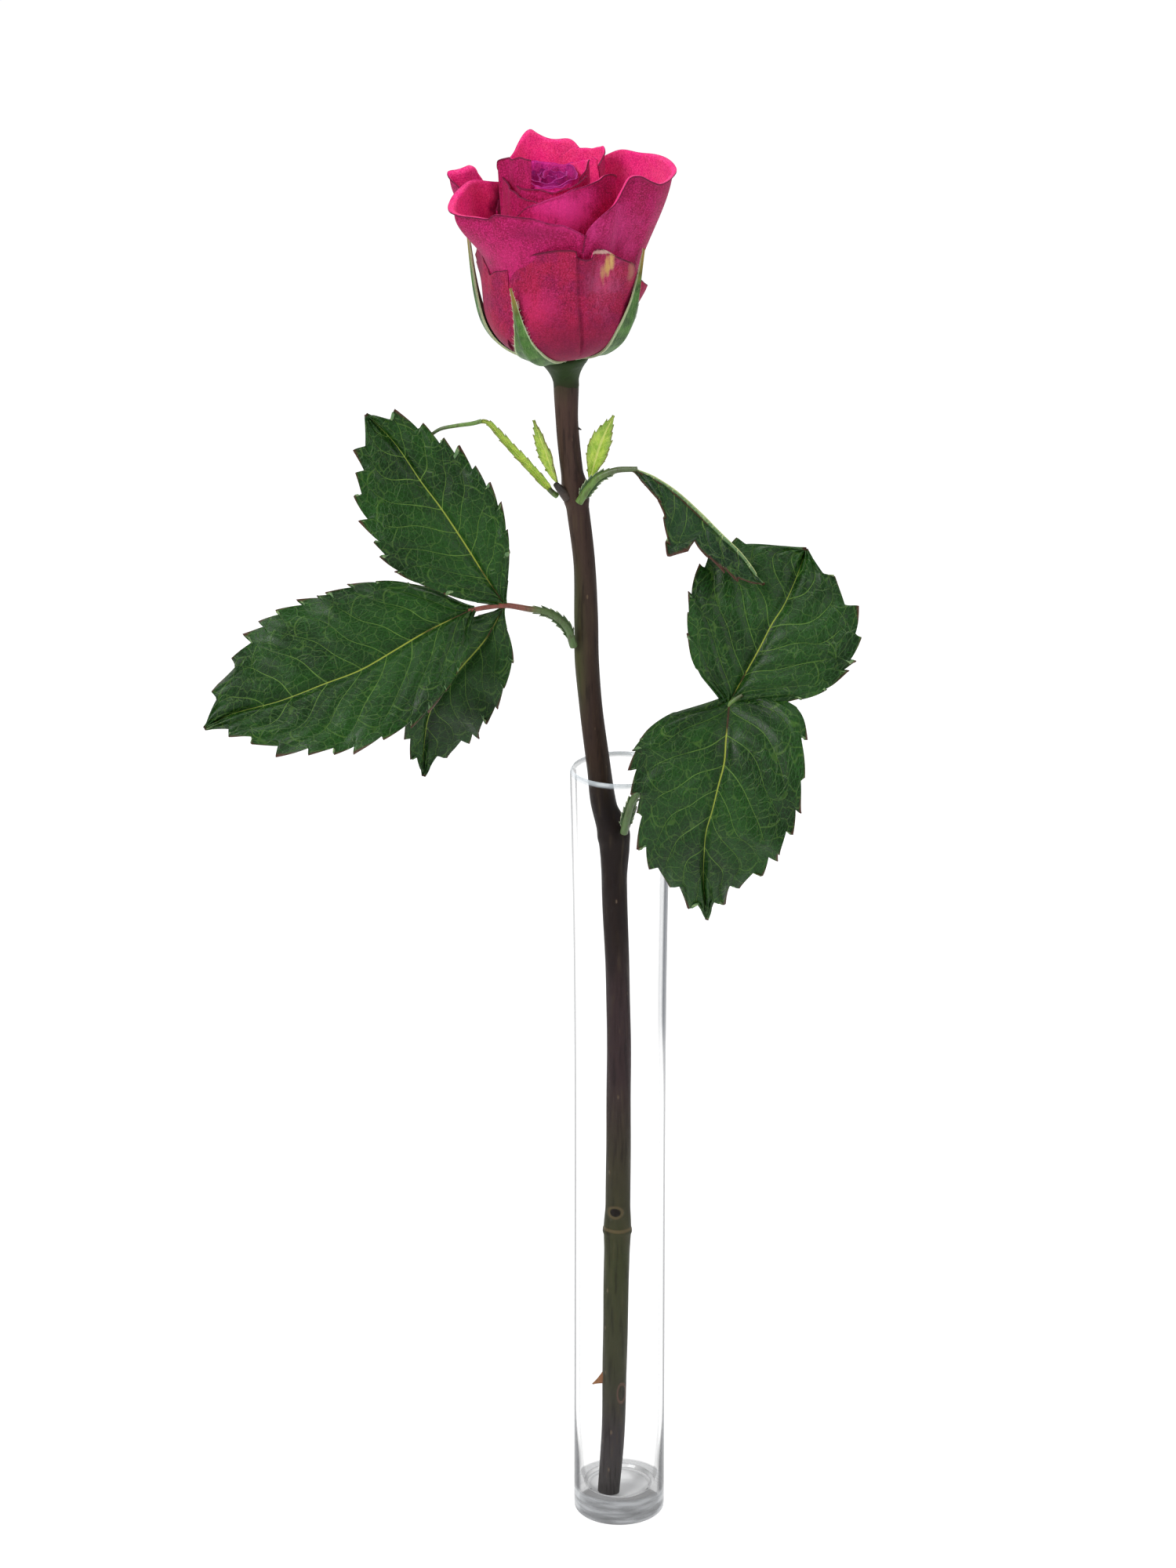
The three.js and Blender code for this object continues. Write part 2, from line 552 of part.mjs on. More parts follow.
function compoundLeaf(side, leaflets) {
  return fuse([
    stalk(STALKS[side]),
    wing(WINGS[side]),
    ...leaflets.map((name) => leaflet(LEAFLETS[name])),
  ]);
}

// ---------------------------------------------------------------- the whole object
const finish = (color, roughness) => new THREE.MeshStandardMaterial({ color, roughness, metalness: 0 });
const CLEAR_GLASS = finish(0xe9eef0, 0.03);
const STEM_BARK = finish(0x46372f, 0.55);
const HIP_GREEN = finish(0x4f7040, 0.6);
const PETAL_CRIMSON = finish(0xb02560, 0.65);
const LEAF_GREEN = finish(0x26492b, 0.4);
const YOUNG_GREEN = finish(0x9bc23c, 0.5);

const group = new THREE.Group();

function addPiece(name, geometry, material) {
  const mesh = new THREE.Mesh(geometry, material);
  mesh.name = name;
  group.add(mesh);
}

addPiece('vase', toGeometry(toSolid(vase())), CLEAR_GLASS);
addPiece('stem', stem(), STEM_BARK);
addPiece('calyx', calyx(), HIP_GREEN);
addPiece('bloom', bloom(), PETAL_CRIMSON);
addPiece('leaf_lower_left', compoundLeaf('lower_left', ['lower_left_top', 'lower_left_end', 'lower_left_low']),
  LEAF_GREEN);
addPiece('leaf_lower_right', compoundLeaf('lower_right', ['lower_right_top', 'lower_right_end']), LEAF_GREEN);
addPiece('leaf_upper_right', compoundLeaf('upper_right', ['upper_right']), LEAF_GREEN);
addPiece('leaf_upper_left', fuse([
  stalk(STALKS.upper_left),
  leaflet(LEAFLETS.upper_left),
  stalk(STALKS.upper_left_thread),
]), YOUNG_GREEN);
addPiece('leaf_small_left', fuse([leaflet(LEAFLETS.small_left)]), YOUNG_GREEN);
addPiece('leaf_small_right', fuse([leaflet(LEAFLETS.small_right)]), YOUNG_GREEN);

export default group;
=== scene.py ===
import functools
import math
import random

import bmesh
import bpy
from mathutils import Matrix, Vector


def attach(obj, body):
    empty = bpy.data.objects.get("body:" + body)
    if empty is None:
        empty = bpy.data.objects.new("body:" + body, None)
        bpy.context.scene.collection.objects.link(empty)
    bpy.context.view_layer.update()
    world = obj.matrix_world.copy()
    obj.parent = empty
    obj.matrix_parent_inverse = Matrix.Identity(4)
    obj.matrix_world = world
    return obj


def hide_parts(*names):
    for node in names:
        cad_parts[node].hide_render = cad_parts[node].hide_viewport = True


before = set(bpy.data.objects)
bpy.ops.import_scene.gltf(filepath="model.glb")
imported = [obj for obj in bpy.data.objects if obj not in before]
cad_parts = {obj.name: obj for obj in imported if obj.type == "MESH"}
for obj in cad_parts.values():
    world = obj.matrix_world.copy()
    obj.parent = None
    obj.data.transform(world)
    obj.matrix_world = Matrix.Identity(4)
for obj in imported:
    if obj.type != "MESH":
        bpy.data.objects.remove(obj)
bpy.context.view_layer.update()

# ---------------------------------------------------------------- sizes, in millimetres
MM = 0.001

VASE_HEIGHT = 218
VASE_TURNS = 160

STEM_SIDES = 40
STEM_STEPS = 420

LEAF_THICKNESS = 0.34
# the rib under a leaf: its radius at its foot and least, its reach along the blade and how deep it hangs
RIB_RADIUS = 0.55
RIB_LEAST = 0.12
RIB_REACH = 0.94
RIB_DROP = 0.1
# a leaf's tooth rises over the first share of its length and then drops; its point leans on by the second
TOOTH_TIP = 0.8
TOOTH_LEAN = 0.42

# the flower's cup: its radius, how high it is widest, how far below that it closes, and how round it is
CUP_RADIUS = 20
CUP_WIDEST_AT = 17
CUP_CLOSES_OVER = 15.8
CUP_POWER = 2.35

PETAL_THICKNESS = 0.36
PETAL_FOOT = 1.8
PETAL_STEPS = 66
# a petal's foot spans the first share of its rim's swing; at the second share of its height it spans it all
ROOT_SPREAD = 0.45
SPREAD_BY = 0.45
# the share of a petal's height where its lip starts to roll
LIP_START = 0.88

SEPAL_THICKNESS = 0.5
SEPAL_STAND_OFF = 0.85
HAIRS = 110
HAIR_RADII = (0.045, 0.01)
HAIR_LENGTHS = (0.4, 1)

# the flower's seat on the hip, the way it looks up, and its own right and back
FLOWER_SEAT = Vector((-14.8, 7, 328))
FLOWER_AXIS = Vector((-0.07, -0.14, 0.987)).normalized()
FLOWER_RIGHT = (Vector((1, 0, 0)) - FLOWER_AXIS * FLOWER_AXIS.x).normalized()
FLOWER_BACK = FLOWER_AXIS.cross(FLOWER_RIGHT)

# the view: the lens's length and its frame's long side, in millimetres, its place and the span that it sees,
# in metres, and how far it looks down, in degrees
LENS = 113.4
FRAME_SIDE = 36
CAMERA_PLACE = (-0.00862, -1.2221, 0.6582)
CAMERA_PITCH = 20
CLIP = (0.05, 20)


# ---------------------------------------------------------------- curves and numbers
def clamp(value, low=0.0, high=1.0):
    return min(max(value, low), high)


def eased(value, start=0.0, end=1.0):
    """0 before start, 1 after end, and a smooth rise between them."""
    share = clamp((value - start) / (end - start))
    return share * share * (3 - 2 * share)


def hill(value, middle, width):
    """1 at the middle, falling off smoothly to both sides."""
    return math.exp(-(((value - middle) / width) ** 2))


def hermite(before, start, end, after, share):
    """A point of the centripetal curve between start and end."""
    gaps = [max((b - a).length ** 0.5, 1e-6) for a, b in ((before, start), (start, end), (end, after))]
    first = (start - before) / gaps[0] - (end - before) / (gaps[0] + gaps[1]) + (end - start) / gaps[1]
    last = (end - start) / gaps[1] - (after - start) / (gaps[1] + gaps[2]) + (after - end) / gaps[2]
    square, cube = share**2, share**3
    return (
        start * (2 * cube - 3 * square + 1)
        + first * gaps[1] * (cube - 2 * square + share)
        + end * (3 * square - 2 * cube)
        + last * gaps[1] * (cube - square)
    )


class Path:
    """A smooth curve through points, read by the share of its length."""

    FINE = 24
    NEAR = 0.004

    def __init__(self, points):
        knots = [Vector(p) for p in points]
        knots = [knots[0] * 2 - knots[1], *knots, knots[-1] * 2 - knots[-2]]
        self.points = [knots[1]]
        for i in range(1, len(knots) - 2):
            for step in range(1, self.FINE + 1):
                self.points.append(hermite(*knots[i - 1 : i + 3], step / self.FINE))
        self.marks = [0.0]
        for a, b in zip(self.points, self.points[1:]):
            self.marks.append(self.marks[-1] + (b - a).length)
        self.length = self.marks[-1]

    @functools.lru_cache(maxsize=None)
    def at(self, share):
        goal = clamp(share) * self.length
        low, high = 0, len(self.marks) - 1
        while high - low > 1:
            middle = (low + high) // 2
            if self.marks[middle] > goal:
                high = middle
            else:
                low = middle
        part = (goal - self.marks[low]) / max(self.marks[high] - self.marks[low], 1e-9)
        return self.points[low].lerp(self.points[high], part)

    def along(self, share):
        return (self.at(share + self.NEAR) - self.at(share - self.NEAR)).normalized()


def smooth_list(values, share):
    """A list of evenly spaced numbers read at a share of its length, without corners."""
    place = clamp(share) * (len(values) - 1)
    low = min(int(place), len(values) - 2)
    a, b = values[low], values[low + 1]
    before = values[low - 1] if low else 2 * a - b
    after = values[low + 2] if low + 2 < len(values) else 2 * b - a
    u = place - low
    bend = (b - before) * (u**3 - 2 * u**2 + u) / 2 + (after - a) * (u**3 - u**2) / 2
    return a * (2 * u**3 - 3 * u**2 + 1) + b * (3 * u**2 - 2 * u**3) + bend


def straight_list(values, share):
    """The same list read along straight lines."""
    place = clamp(share) * (len(values) - 1)
    low = min(int(place), len(values) - 2)
    return values[low] + (values[low + 1] - values[low]) * (place - low)


# ---------------------------------------------------------------- mesh helpers
def sheet(columns, rows, place, flat):
    """A grid laid on place(s, t), in millimetres: s runs across from -1 to 1 and t from 0 to 1.

    Each corner keeps (s, t) in "blade" and flat(s, t), its place on the flat blade, in "flat".
    """
    bm = bmesh.new()
    bmesh.ops.create_grid(bm, x_segments=columns, y_segments=rows, size=1)
    blade = bm.verts.layers.float_vector.new("blade")
    spread = bm.verts.layers.float_vector.new("flat")
    for corner in bm.verts:
        s, t = corner.co.x, (corner.co.y + 1) / 2
        corner[blade] = Vector((s, t, 0))
        corner[spread] = Vector(flat(s, t))
        corner.co = place(s, t) * MM
    return bm


def thicken(bm, thickness):
    """Gives a sheet its thickness below its face; the new face takes the second material."""
    bm.normal_update()
    outward = bm.verts.layers.float_vector.new("outward")
    for corner in bm.verts:
        corner[outward] = corner.normal
    upper = set(bm.verts)
    bmesh.ops.solidify(bm, geom=list(bm.faces), thickness=0)
    for corner in bm.verts:
        if corner not in upper:
            corner.co -= corner[outward] * (thickness * MM)
    for face in bm.faces:
        if not any(corner in upper for corner in face.verts):
            face.material_index = 1
    bm.verts.layers.float_vector.remove(outward)
    return bm


def rod(path, radius, sides, steps):
    """A closed bar along a path; radius gives its size at a share of the path and an angle round it."""
    bm = bmesh.new()
    blade = bm.verts.layers.float_vector.new("blade")
    spread = bm.verts.layers.float_vector.new("flat")
    ring = bmesh.ops.create_circle(bm, segments=sides, radius=1, cap_ends=True)["verts"]
    shape = [corner.co.copy() for corner in ring]
    rings = [ring]
    edges = list(bm.edges)
    for _ in range(steps):
        made = bmesh.ops.extrude_edge_only(bm, edges=edges)["geom"]
        edges = [item for item in made if isinstance(item, bmesh.types.BMEdge)]
        fresh = {item for item in made if isinstance(item, bmesh.types.BMVert)}
        rings.append([
            next(edge.other_vert(corner) for edge in corner.link_edges if edge.other_vert(corner) in fresh)
            for corner in rings[-1]
        ])
    bmesh.ops.contextual_create(bm, geom=edges)
    for step, ring in enumerate(rings):
        t = step / steps
        centre, tangent = path.at(t), path.along(t)
        across = (Vector((0, 1, 0)) - tangent * tangent.y).normalized()
        side = across.cross(tangent)
        for corner, flat in zip(ring, shape):
            around = math.atan2(flat.y, flat.x)
            size = radius(t, around)
            corner.co = (centre + across * (flat.x * size) + side * (flat.y * size)) * MM
            corner[blade] = Vector((around / math.pi, t, 0))
            corner[spread] = Vector((around * size, t * path.length, 0))
    bmesh.ops.recalc_face_normals(bm, faces=bm.faces)
    return bm


def turned(profile, segments, seat=None):
    """A profile of radius and height, in millimetres, turned about the upright axis, or the flower's."""
    bm = bmesh.new()
    corners = [bm.verts.new((r * MM, 0, z * MM)) for r, z in profile]
    for a, b in zip(corners, corners[1:]):
        bm.edges.new((a, b))
    bmesh.ops.spin(
        bm, geom=list(bm.verts) + list(bm.edges), cent=(0, 0, 0), axis=(0, 0, 1), angle=math.tau,
        steps=segments, use_merge=True,
    )
    bmesh.ops.remove_doubles(bm, verts=bm.verts, dist=1e-6)
    bmesh.ops.recalc_face_normals(bm, faces=bm.faces)
    if seat:
        bmesh.ops.transform(bm, matrix=seat, verts=bm.verts)
    return bm


def flower_matrix():
    """Takes a shape about the upright axis to the flower's seat and lean."""
    columns = Matrix((FLOWER_RIGHT, FLOWER_BACK, FLOWER_AXIS)).transposed().to_4x4()
    return Matrix.Translation(FLOWER_SEAT * MM) @ columns


def rounded(points, steps):
    """The points with a smooth curve drawn through them."""
    path = Path([(r, z, 0) for r, z in points])
    count = steps * (len(points) - 1)
    return [(max(path.at(i / count).x, 0), path.at(i / count).y) for i in range(count + 1)]


def piece(name, bm, materials, replaces, sharp=50):
    """Turns a bmesh into a finished piece on the body; it takes the place of a CAD node, hiding it, or stands
    alone.
    """
    bm.normal_update()
    for edge in bm.edges:
        edge.smooth = len(edge.link_faces) == 2 and edge.calc_face_angle(0) < math.radians(sharp)
    for face in bm.faces:
        face.smooth = True
    mesh = bpy.data.meshes.new(name)
    bm.to_mesh(mesh)
    bm.free()
    for material in materials:
        mesh.materials.append(material)
    made = bpy.data.objects.new(name, mesh)
    bpy.context.scene.collection.objects.link(made)
    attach(made, "root")
    if replaces:
        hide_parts(replaces)


# ---------------------------------------------------------------- shader helpers
def both_sides(operation):
    """The methods of a sign with the wire on its left, and on its right."""
    return (
        lambda wire, other: wire.maths(operation, wire, other),
        lambda wire, other: wire.maths(operation, other, wire),
    )


class Wire:
    """A node's output that works in sums: each sign adds a Math node."""

    def __init__(self, finish, socket):
        self.finish = finish
        self.socket = socket

    def maths(self, operation, *terms):
        return self.finish.node("ShaderNodeMath", {"operation": operation}, dict(enumerate(terms)))

    __add__, __radd__ = both_sides("ADD")
    __sub__, __rsub__ = both_sides("SUBTRACT")
    __mul__, __rmul__ = both_sides("MULTIPLY")
    __truediv__, __rtruediv__ = both_sides("DIVIDE")

    def __pow__(self, other):
        return self.maths("POWER", self, other)

    def __abs__(self):
        return self.maths("ABSOLUTE", self)

    def fraction(self):
        return self.maths("FRACT", self)

    def sine(self):
        return self.maths("SINE", self)

    def least(self, other):
        return self.maths("MINIMUM", self, other)

    def most(self, other):
        return self.maths("MAXIMUM", self, other)


def paint(code):
    """A colour written as six hexadecimal digits, in linear light."""
    parts = [int(code[i : i + 2], 16) / 255 for i in (0, 2, 4)]
    return (*(p / 12.92 if p <= 0.04045 else ((p + 0.055) / 1.055) ** 2.4 for p in parts), 1)


class Finish:
    """One material and the nodes that feed it."""

    def __init__(self, name, **fixed):
        self.material = bpy.data.materials.new(name)
        self.material.use_nodes = True
        self.tree = self.material.node_tree
        self.shader = self.tree.nodes["Principled BSDF"]
        for socket, value in fixed.items():
            self.shader.inputs[socket.replace("_", " ")].default_value = value

    def feed(self, socket, value):
        if isinstance(value, Wire):
            self.tree.links.new(value.socket, socket)
        else:
            socket.default_value = value

    def node(self, kind, settings=None, inputs=None, output=0):
        made = self.tree.nodes.new(kind)
        for key, value in (settings or {}).items():
            if key == "stops":
                self.set_stops(made.color_ramp, value)
            else:
                setattr(made, key, value)
        for key, value in (inputs or {}).items():
            self.feed(made.inputs[key], value)
        return Wire(self, made.outputs[output])

    def set_stops(self, ramp, stops):
        while len(ramp.elements) > 1:
            ramp.elements.remove(ramp.elements[-1])
        for i, (place, colour) in enumerate(stops):
            stop = ramp.elements[0] if i == 0 else ramp.elements.new(place)
            stop.position = place
            stop.color = paint(colour) if isinstance(colour, str) else (colour, colour, colour, 1)

    def attribute(self, name):
        return self.node("ShaderNodeAttribute", {"attribute_name": name}, output="Vector")

    def laid(self):
        """How far across and along a sheet it is, and its place laid flat, in millimetres."""
        blade = self.attribute("blade")
        return self.split(blade, "X"), self.split(blade, "Y"), self.attribute("flat")

    def split(self, vector, axis):
        return self.node("ShaderNodeSeparateXYZ", inputs={0: vector}, output=axis)

    def place(self):
        return self.node("ShaderNodeTexCoord", output="Object")

    def scaled(self, vector, scale):
        return self.node("ShaderNodeVectorMath", {"operation": "MULTIPLY"}, {0: vector, 1: scale})

    def noise(self, vector, scale, detail=3.0, roughness=0.55):
        inputs = {"Vector": vector, "Scale": scale, "Detail": detail, "Roughness": roughness}
        return self.node("ShaderNodeTexNoise", inputs=inputs)

    def cells(self, vector, scale, feature="DISTANCE_TO_EDGE"):
        return self.node("ShaderNodeTexVoronoi", {"feature": feature}, {"Vector": vector, "Scale": scale})

    def from_spot(self, place, centre, reach):
        """How far a place lies from a centre, with 1 at its reach; centre and reach are in millimetres."""
        settings = {"operation": "SUBTRACT"}
        away = self.node("ShaderNodeVectorMath", settings, {0: place, 1: [c * MM for c in centre]})
        shares = self.scaled(away, [1 / (r * MM) for r in reach])
        return self.node("ShaderNodeVectorMath", {"operation": "LENGTH"}, {0: shares}, output="Value")

    def rise(self, value, low, high):
        """0 below low, 1 above high, smooth between; low above high falls instead."""
        inputs = {"Value": value, "From Min": min(low, high), "From Max": max(low, high)}
        inputs["To Min"], inputs["To Max"] = (0.0, 1.0) if low < high else (1.0, 0.0)
        return self.node("ShaderNodeMapRange", {"interpolation_type": "SMOOTHSTEP"}, inputs)

    def blend(self, share, first, second):
        first, second = [paint(c) if isinstance(c, str) else c for c in (first, second)]
        return self.node("ShaderNodeMix", {"data_type": "RGBA"}, {0: share, 6: first, 7: second}, output=2)

    def coats(self, base, *layers):
        """Colours laid over a base in turn, each by its own share."""
        for share, colour in layers:
            base = self.blend(share, base, colour)
        return base

    def ramp(self, value, stops):
        return self.node("ShaderNodeValToRGB", {"stops": stops}, {0: value})

    def set(self, **wires):
        for socket, value in wires.items():
            self.feed(self.shader.inputs[socket.replace("_", " ")], value)
        return self

    def bump(self, height, depth):
        """Relief as deep as depth millimetres where height goes from 0 to 1."""
        inputs = {"Height": height, "Distance": depth * MM, "Strength": 1.0}
        return self.set(Normal=self.node("ShaderNodeBump", inputs=inputs))


# ---------------------------------------------------------------- leaf veins
# how far out, as a share of the half width, the side veins loop on to the next
VEIN_LOOP = 0.86


def vein_phase(across, along, laterals, sweep, sine):
    """How far a place lies along the row of side veins, in vein gaps; works on numbers and on wires."""
    out = abs(across)
    wander = 0.006 * sine(17 * along + 9 * across) + 0.01 * sine(6 * across - 11 * along)
    return laterals * (along + wander - sweep * out - 0.06 * out * out * out) + 0.22 * across


def leaf_finish(name, leaf, under=False):
    """Green blade with its midrib, looped side veins and fine net; the underside is paler and matt."""
    finish = Finish(name, Specular_IOR_Level=0.2 if under else 0.26)
    s, t, flat = finish.laid()
    out = abs(s)

    part = vein_phase(s, t, leaf.laterals, leaf.sweep, Wire.sine).fraction()
    near = part.least(1 - part) * (leaf.path.length / leaf.laterals) * 0.8
    lateral = finish.rise(near / (1.3 - out), 0.17, 0.04) * finish.rise(out, VEIN_LOOP, VEIN_LOOP - 0.12)
    loop_gap = abs(out - (VEIN_LOOP - 0.2 * part**1.6)) * leaf.half
    loop = finish.rise(loop_gap, 0.2, 0.04) * 0.7
    midrib = finish.rise(out * leaf.half / (0.24 - 0.14 * t), 1.2, 0.5)
    shift = finish.scaled(finish.noise(flat, 0.35, 2.0), (1.6, 1.6, 0))
    warped = finish.node("ShaderNodeVectorMath", {"operation": "ADD"}, {0: flat, 1: shift})
    net = finish.rise(finish.cells(warped, 0.3), 0.05, 0.01)
    fine_net = finish.rise(finish.cells(warped, 0.85), 0.09, 0.02)

    speckle = finish.noise(flat, 2.6, 3.0)
    cloud = finish.noise(flat, 0.06, 3.0)
    rim_gap = finish.split(flat, "Z") + 0.5 * finish.noise(flat, 0.9, 2.0)
    if under:
        base = finish.coats(
            finish.blend(cloud, "4f7048", "6c8c5c"),
            (speckle * 0.5, "456040"),
            (fine_net * 0.3, "86a070"),
            ((net * 0.5).most(loop).most(lateral), "9db078"),
            (midrib, "b0ba80"),
        )
    else:
        bright = finish.noise(flat, 0.22, 2.0)
        veins = (net * 0.26).most(loop * 0.55).most(lateral * 0.85) * (0.25 + 0.75 * bright)
        base = finish.coats(
            # mottled between the darkest and lightest green: partly the blade's own tone, partly painted
            # sheen
            finish.blend(finish.rise(cloud, 0.32, 0.68), leaf.dark, leaf.light),
            (finish.rise(speckle, 0.45, 0.65) * 0.55, "051802"),
            (fine_net * 0.2, "37702c"),
            (veins.least(1.0), "6f9440"),
            (midrib, finish.ramp(t, [(0.0, "7c4a30"), (0.1, "98a03c"), (1.0, "7c9440")])),
        )
    base = finish.blend(finish.rise(rim_gap, 0.95, 0.4) * 0.9, base, "4c2a22")
    for centre, reach, colour in leaf.marks:
        mark = finish.from_spot(finish.place(), centre, reach) + 0.5 * (finish.noise(flat, 1.5, 2.0) - 0.5)
        base = finish.blend(finish.rise(mark, 1.1, 0.75), base, colour)

    gloss = finish.noise(flat, 0.05, 2.0)
    shine = (0.5 if under else 0.26) + 0.26 * gloss + 0.1 * lateral.most(midrib)
    raised = (fine_net * 0.35).most(net * 0.6).most(lateral).most(midrib)
    height = 0.5 * speckle + raised * (1 if under else -1)
    return finish.set(Base_Color=base, Roughness=shine).bump(height, 0.16 if under else 0.09).material


# ---------------------------------------------------------------- leaflets
class Leaflet:
    """One toothed blade.

    rib is its midrib and face the way its upper side looks. plus and minus are its half widths along the
    midrib, with corners where it is angular, fold the degrees by which its two sides rise and lobe how far
    they run back at the foot. tooth is how far the teeth stand out, laterals the number of side veins and
    wave the height of the waves in its edge. marks are scars, each with its centre, reach and colour, and
    shades its darkest and lightest green. columns and steps, for each tooth, are the cells of its mesh.
    """

    FOOT_ROUNDING = 0.08
    LEAST_HALF_WIDTH = 0.15
    TOOTH_ZONE = 1.6
    # the pillows between the veins and the groove of the midrib, as shares of the half width, and its width
    PILLOW = 0.03
    GROOVE = 0.045
    GROOVE_WIDTH = 1.3

    def __init__(
        self, rib, face, plus, minus, fold, teeth, lobe=(0, 0), tooth=1.9, laterals=9, wave=0.6,
        marks=(), steps=15, columns=72, shades=("0a2803", "184209"), angular=False,
    ):
        self.path = Path(rib)
        self.look = Vector(face).normalized()
        self.plus, self.minus = plus, minus
        self.fold, self.lobe = fold, lobe
        self.teeth, self.tooth = teeth, tooth
        self.laterals = laterals
        self.wave = wave
        self.dark, self.light = shades
        self.read = straight_list if angular else smooth_list
        self.marks = marks
        self.steps, self.columns = steps, columns
        self.half = (max(plus) + max(minus)) / 2
        self.sweep = 0.8 * self.half / self.path.length

    def tooth_at(self, t):
        """How far the edge stands out at t, and how far it leans to the tip.

        The teeth grow in from the foot and shrink to the tip, and the last one is left out.
        """
        place = t * self.teeth
        order = math.floor(place + 1e-6)
        part = max(place - order, 0)
        grown = part / TOOTH_TIP if part < TOOTH_TIP else (1 - part) / (1 - TOOTH_TIP)
        size = 0
        if order < self.teeth - 1:
            size = min(1, 5 * t, 9 * (1 - t)) * (0.85 + 0.25 * math.sin(2.3 * order))
        lean = TOOTH_LEAN * self.path.length / self.teeth * grown**1.6
        return self.tooth * size * grown**0.95, lean * size

    def sample(self, s, t):
        """The ways along, up and aside there, and the blade's fold, width, lean and half width."""
        tangent = self.path.along(t)
        up = (self.look - tangent * self.look.dot(tangent)).normalized()
        side = tangent.cross(up)
        on_plus = s > 0
        angle = math.radians(self.fold[0 if on_plus else 1])
        rounding = math.sqrt(min(1, 0.1 + t / self.FOOT_ROUNDING))
        out = abs(s)
        half = max(self.read(self.plus if on_plus else self.minus, t), self.LEAST_HALF_WIDTH) * rounding
        edge = eased(out, 1 - self.TOOTH_ZONE * self.tooth / max(half, 2 * self.tooth), 1)
        reach, lean = self.tooth_at(t)
        width = out * half + reach * edge
        back = out * self.lobe[0 if on_plus else 1] * (1 - t) ** 5
        return tangent, up, side, angle, width, lean * edge - back, half

    def quilt(self, s, t):
        """The blade's soft pillows between its veins, and the groove of its midrib."""
        out = abs(s)
        phase = vein_phase(s, t, self.laterals, self.sweep, math.sin)
        part = phase - math.floor(phase)
        pillow = min(1, 3 * min(part, 1 - part)) * eased(out, 0, 0.25) * eased(out, 1, 0.8)
        groove = hill(out * self.half, 0, self.GROOVE_WIDTH) * min(1, 6 * t)
        return self.half * (self.PILLOW * pillow - self.GROOVE * groove)

    def place(self, s, t):
        tangent, up, side, angle, width, lean, _ = self.sample(s, t)
        out = abs(s)
        ripple = math.sin(3.4 * self.laterals * t + (1.3 if s > 0 else 0)) * min(1, 4 * t)
        lift = self.quilt(s, t) + self.wave * out**3 * ripple
        bow = angle * (1 - 0.35 * out)
        return (
            self.path.at(t)
            + side * (math.copysign(1, s) * (width * math.cos(bow) - lift * math.sin(bow)))
            + up * (width * math.sin(bow) + lift * math.cos(bow))
            + tangent * lean
        )

    def flat(self, s, t):
        """The place on the blade laid flat, and how near the rim it is."""
        *_, width, _, half = self.sample(s, t)
        reach, _ = self.tooth_at(t)
        rim = (1 - abs(s)) * half + max(0, self.tooth - reach) * 0.35
        return (math.copysign(width, s), t * self.path.length, min(rim, (1 - t) * self.path.length))

    def mesh(self):
        bm = sheet(self.columns, self.teeth * self.steps, self.place, self.flat)
        return thicken(bm, LEAF_THICKNESS)

    def rib(self):
        """The round rib that stands out on the underside."""
        lower = []
        for step in range(9):
            t = step / 8 * RIB_REACH
            up = self.sample(0.01, t)[1]
            lower.append(self.path.at(t) + up * (self.quilt(0, t) - LEAF_THICKNESS - RIB_DROP))
        return rod(Path(lower), lambda t, _: max(RIB_RADIUS * (1 - t), RIB_LEAST), sides=10, steps=40)


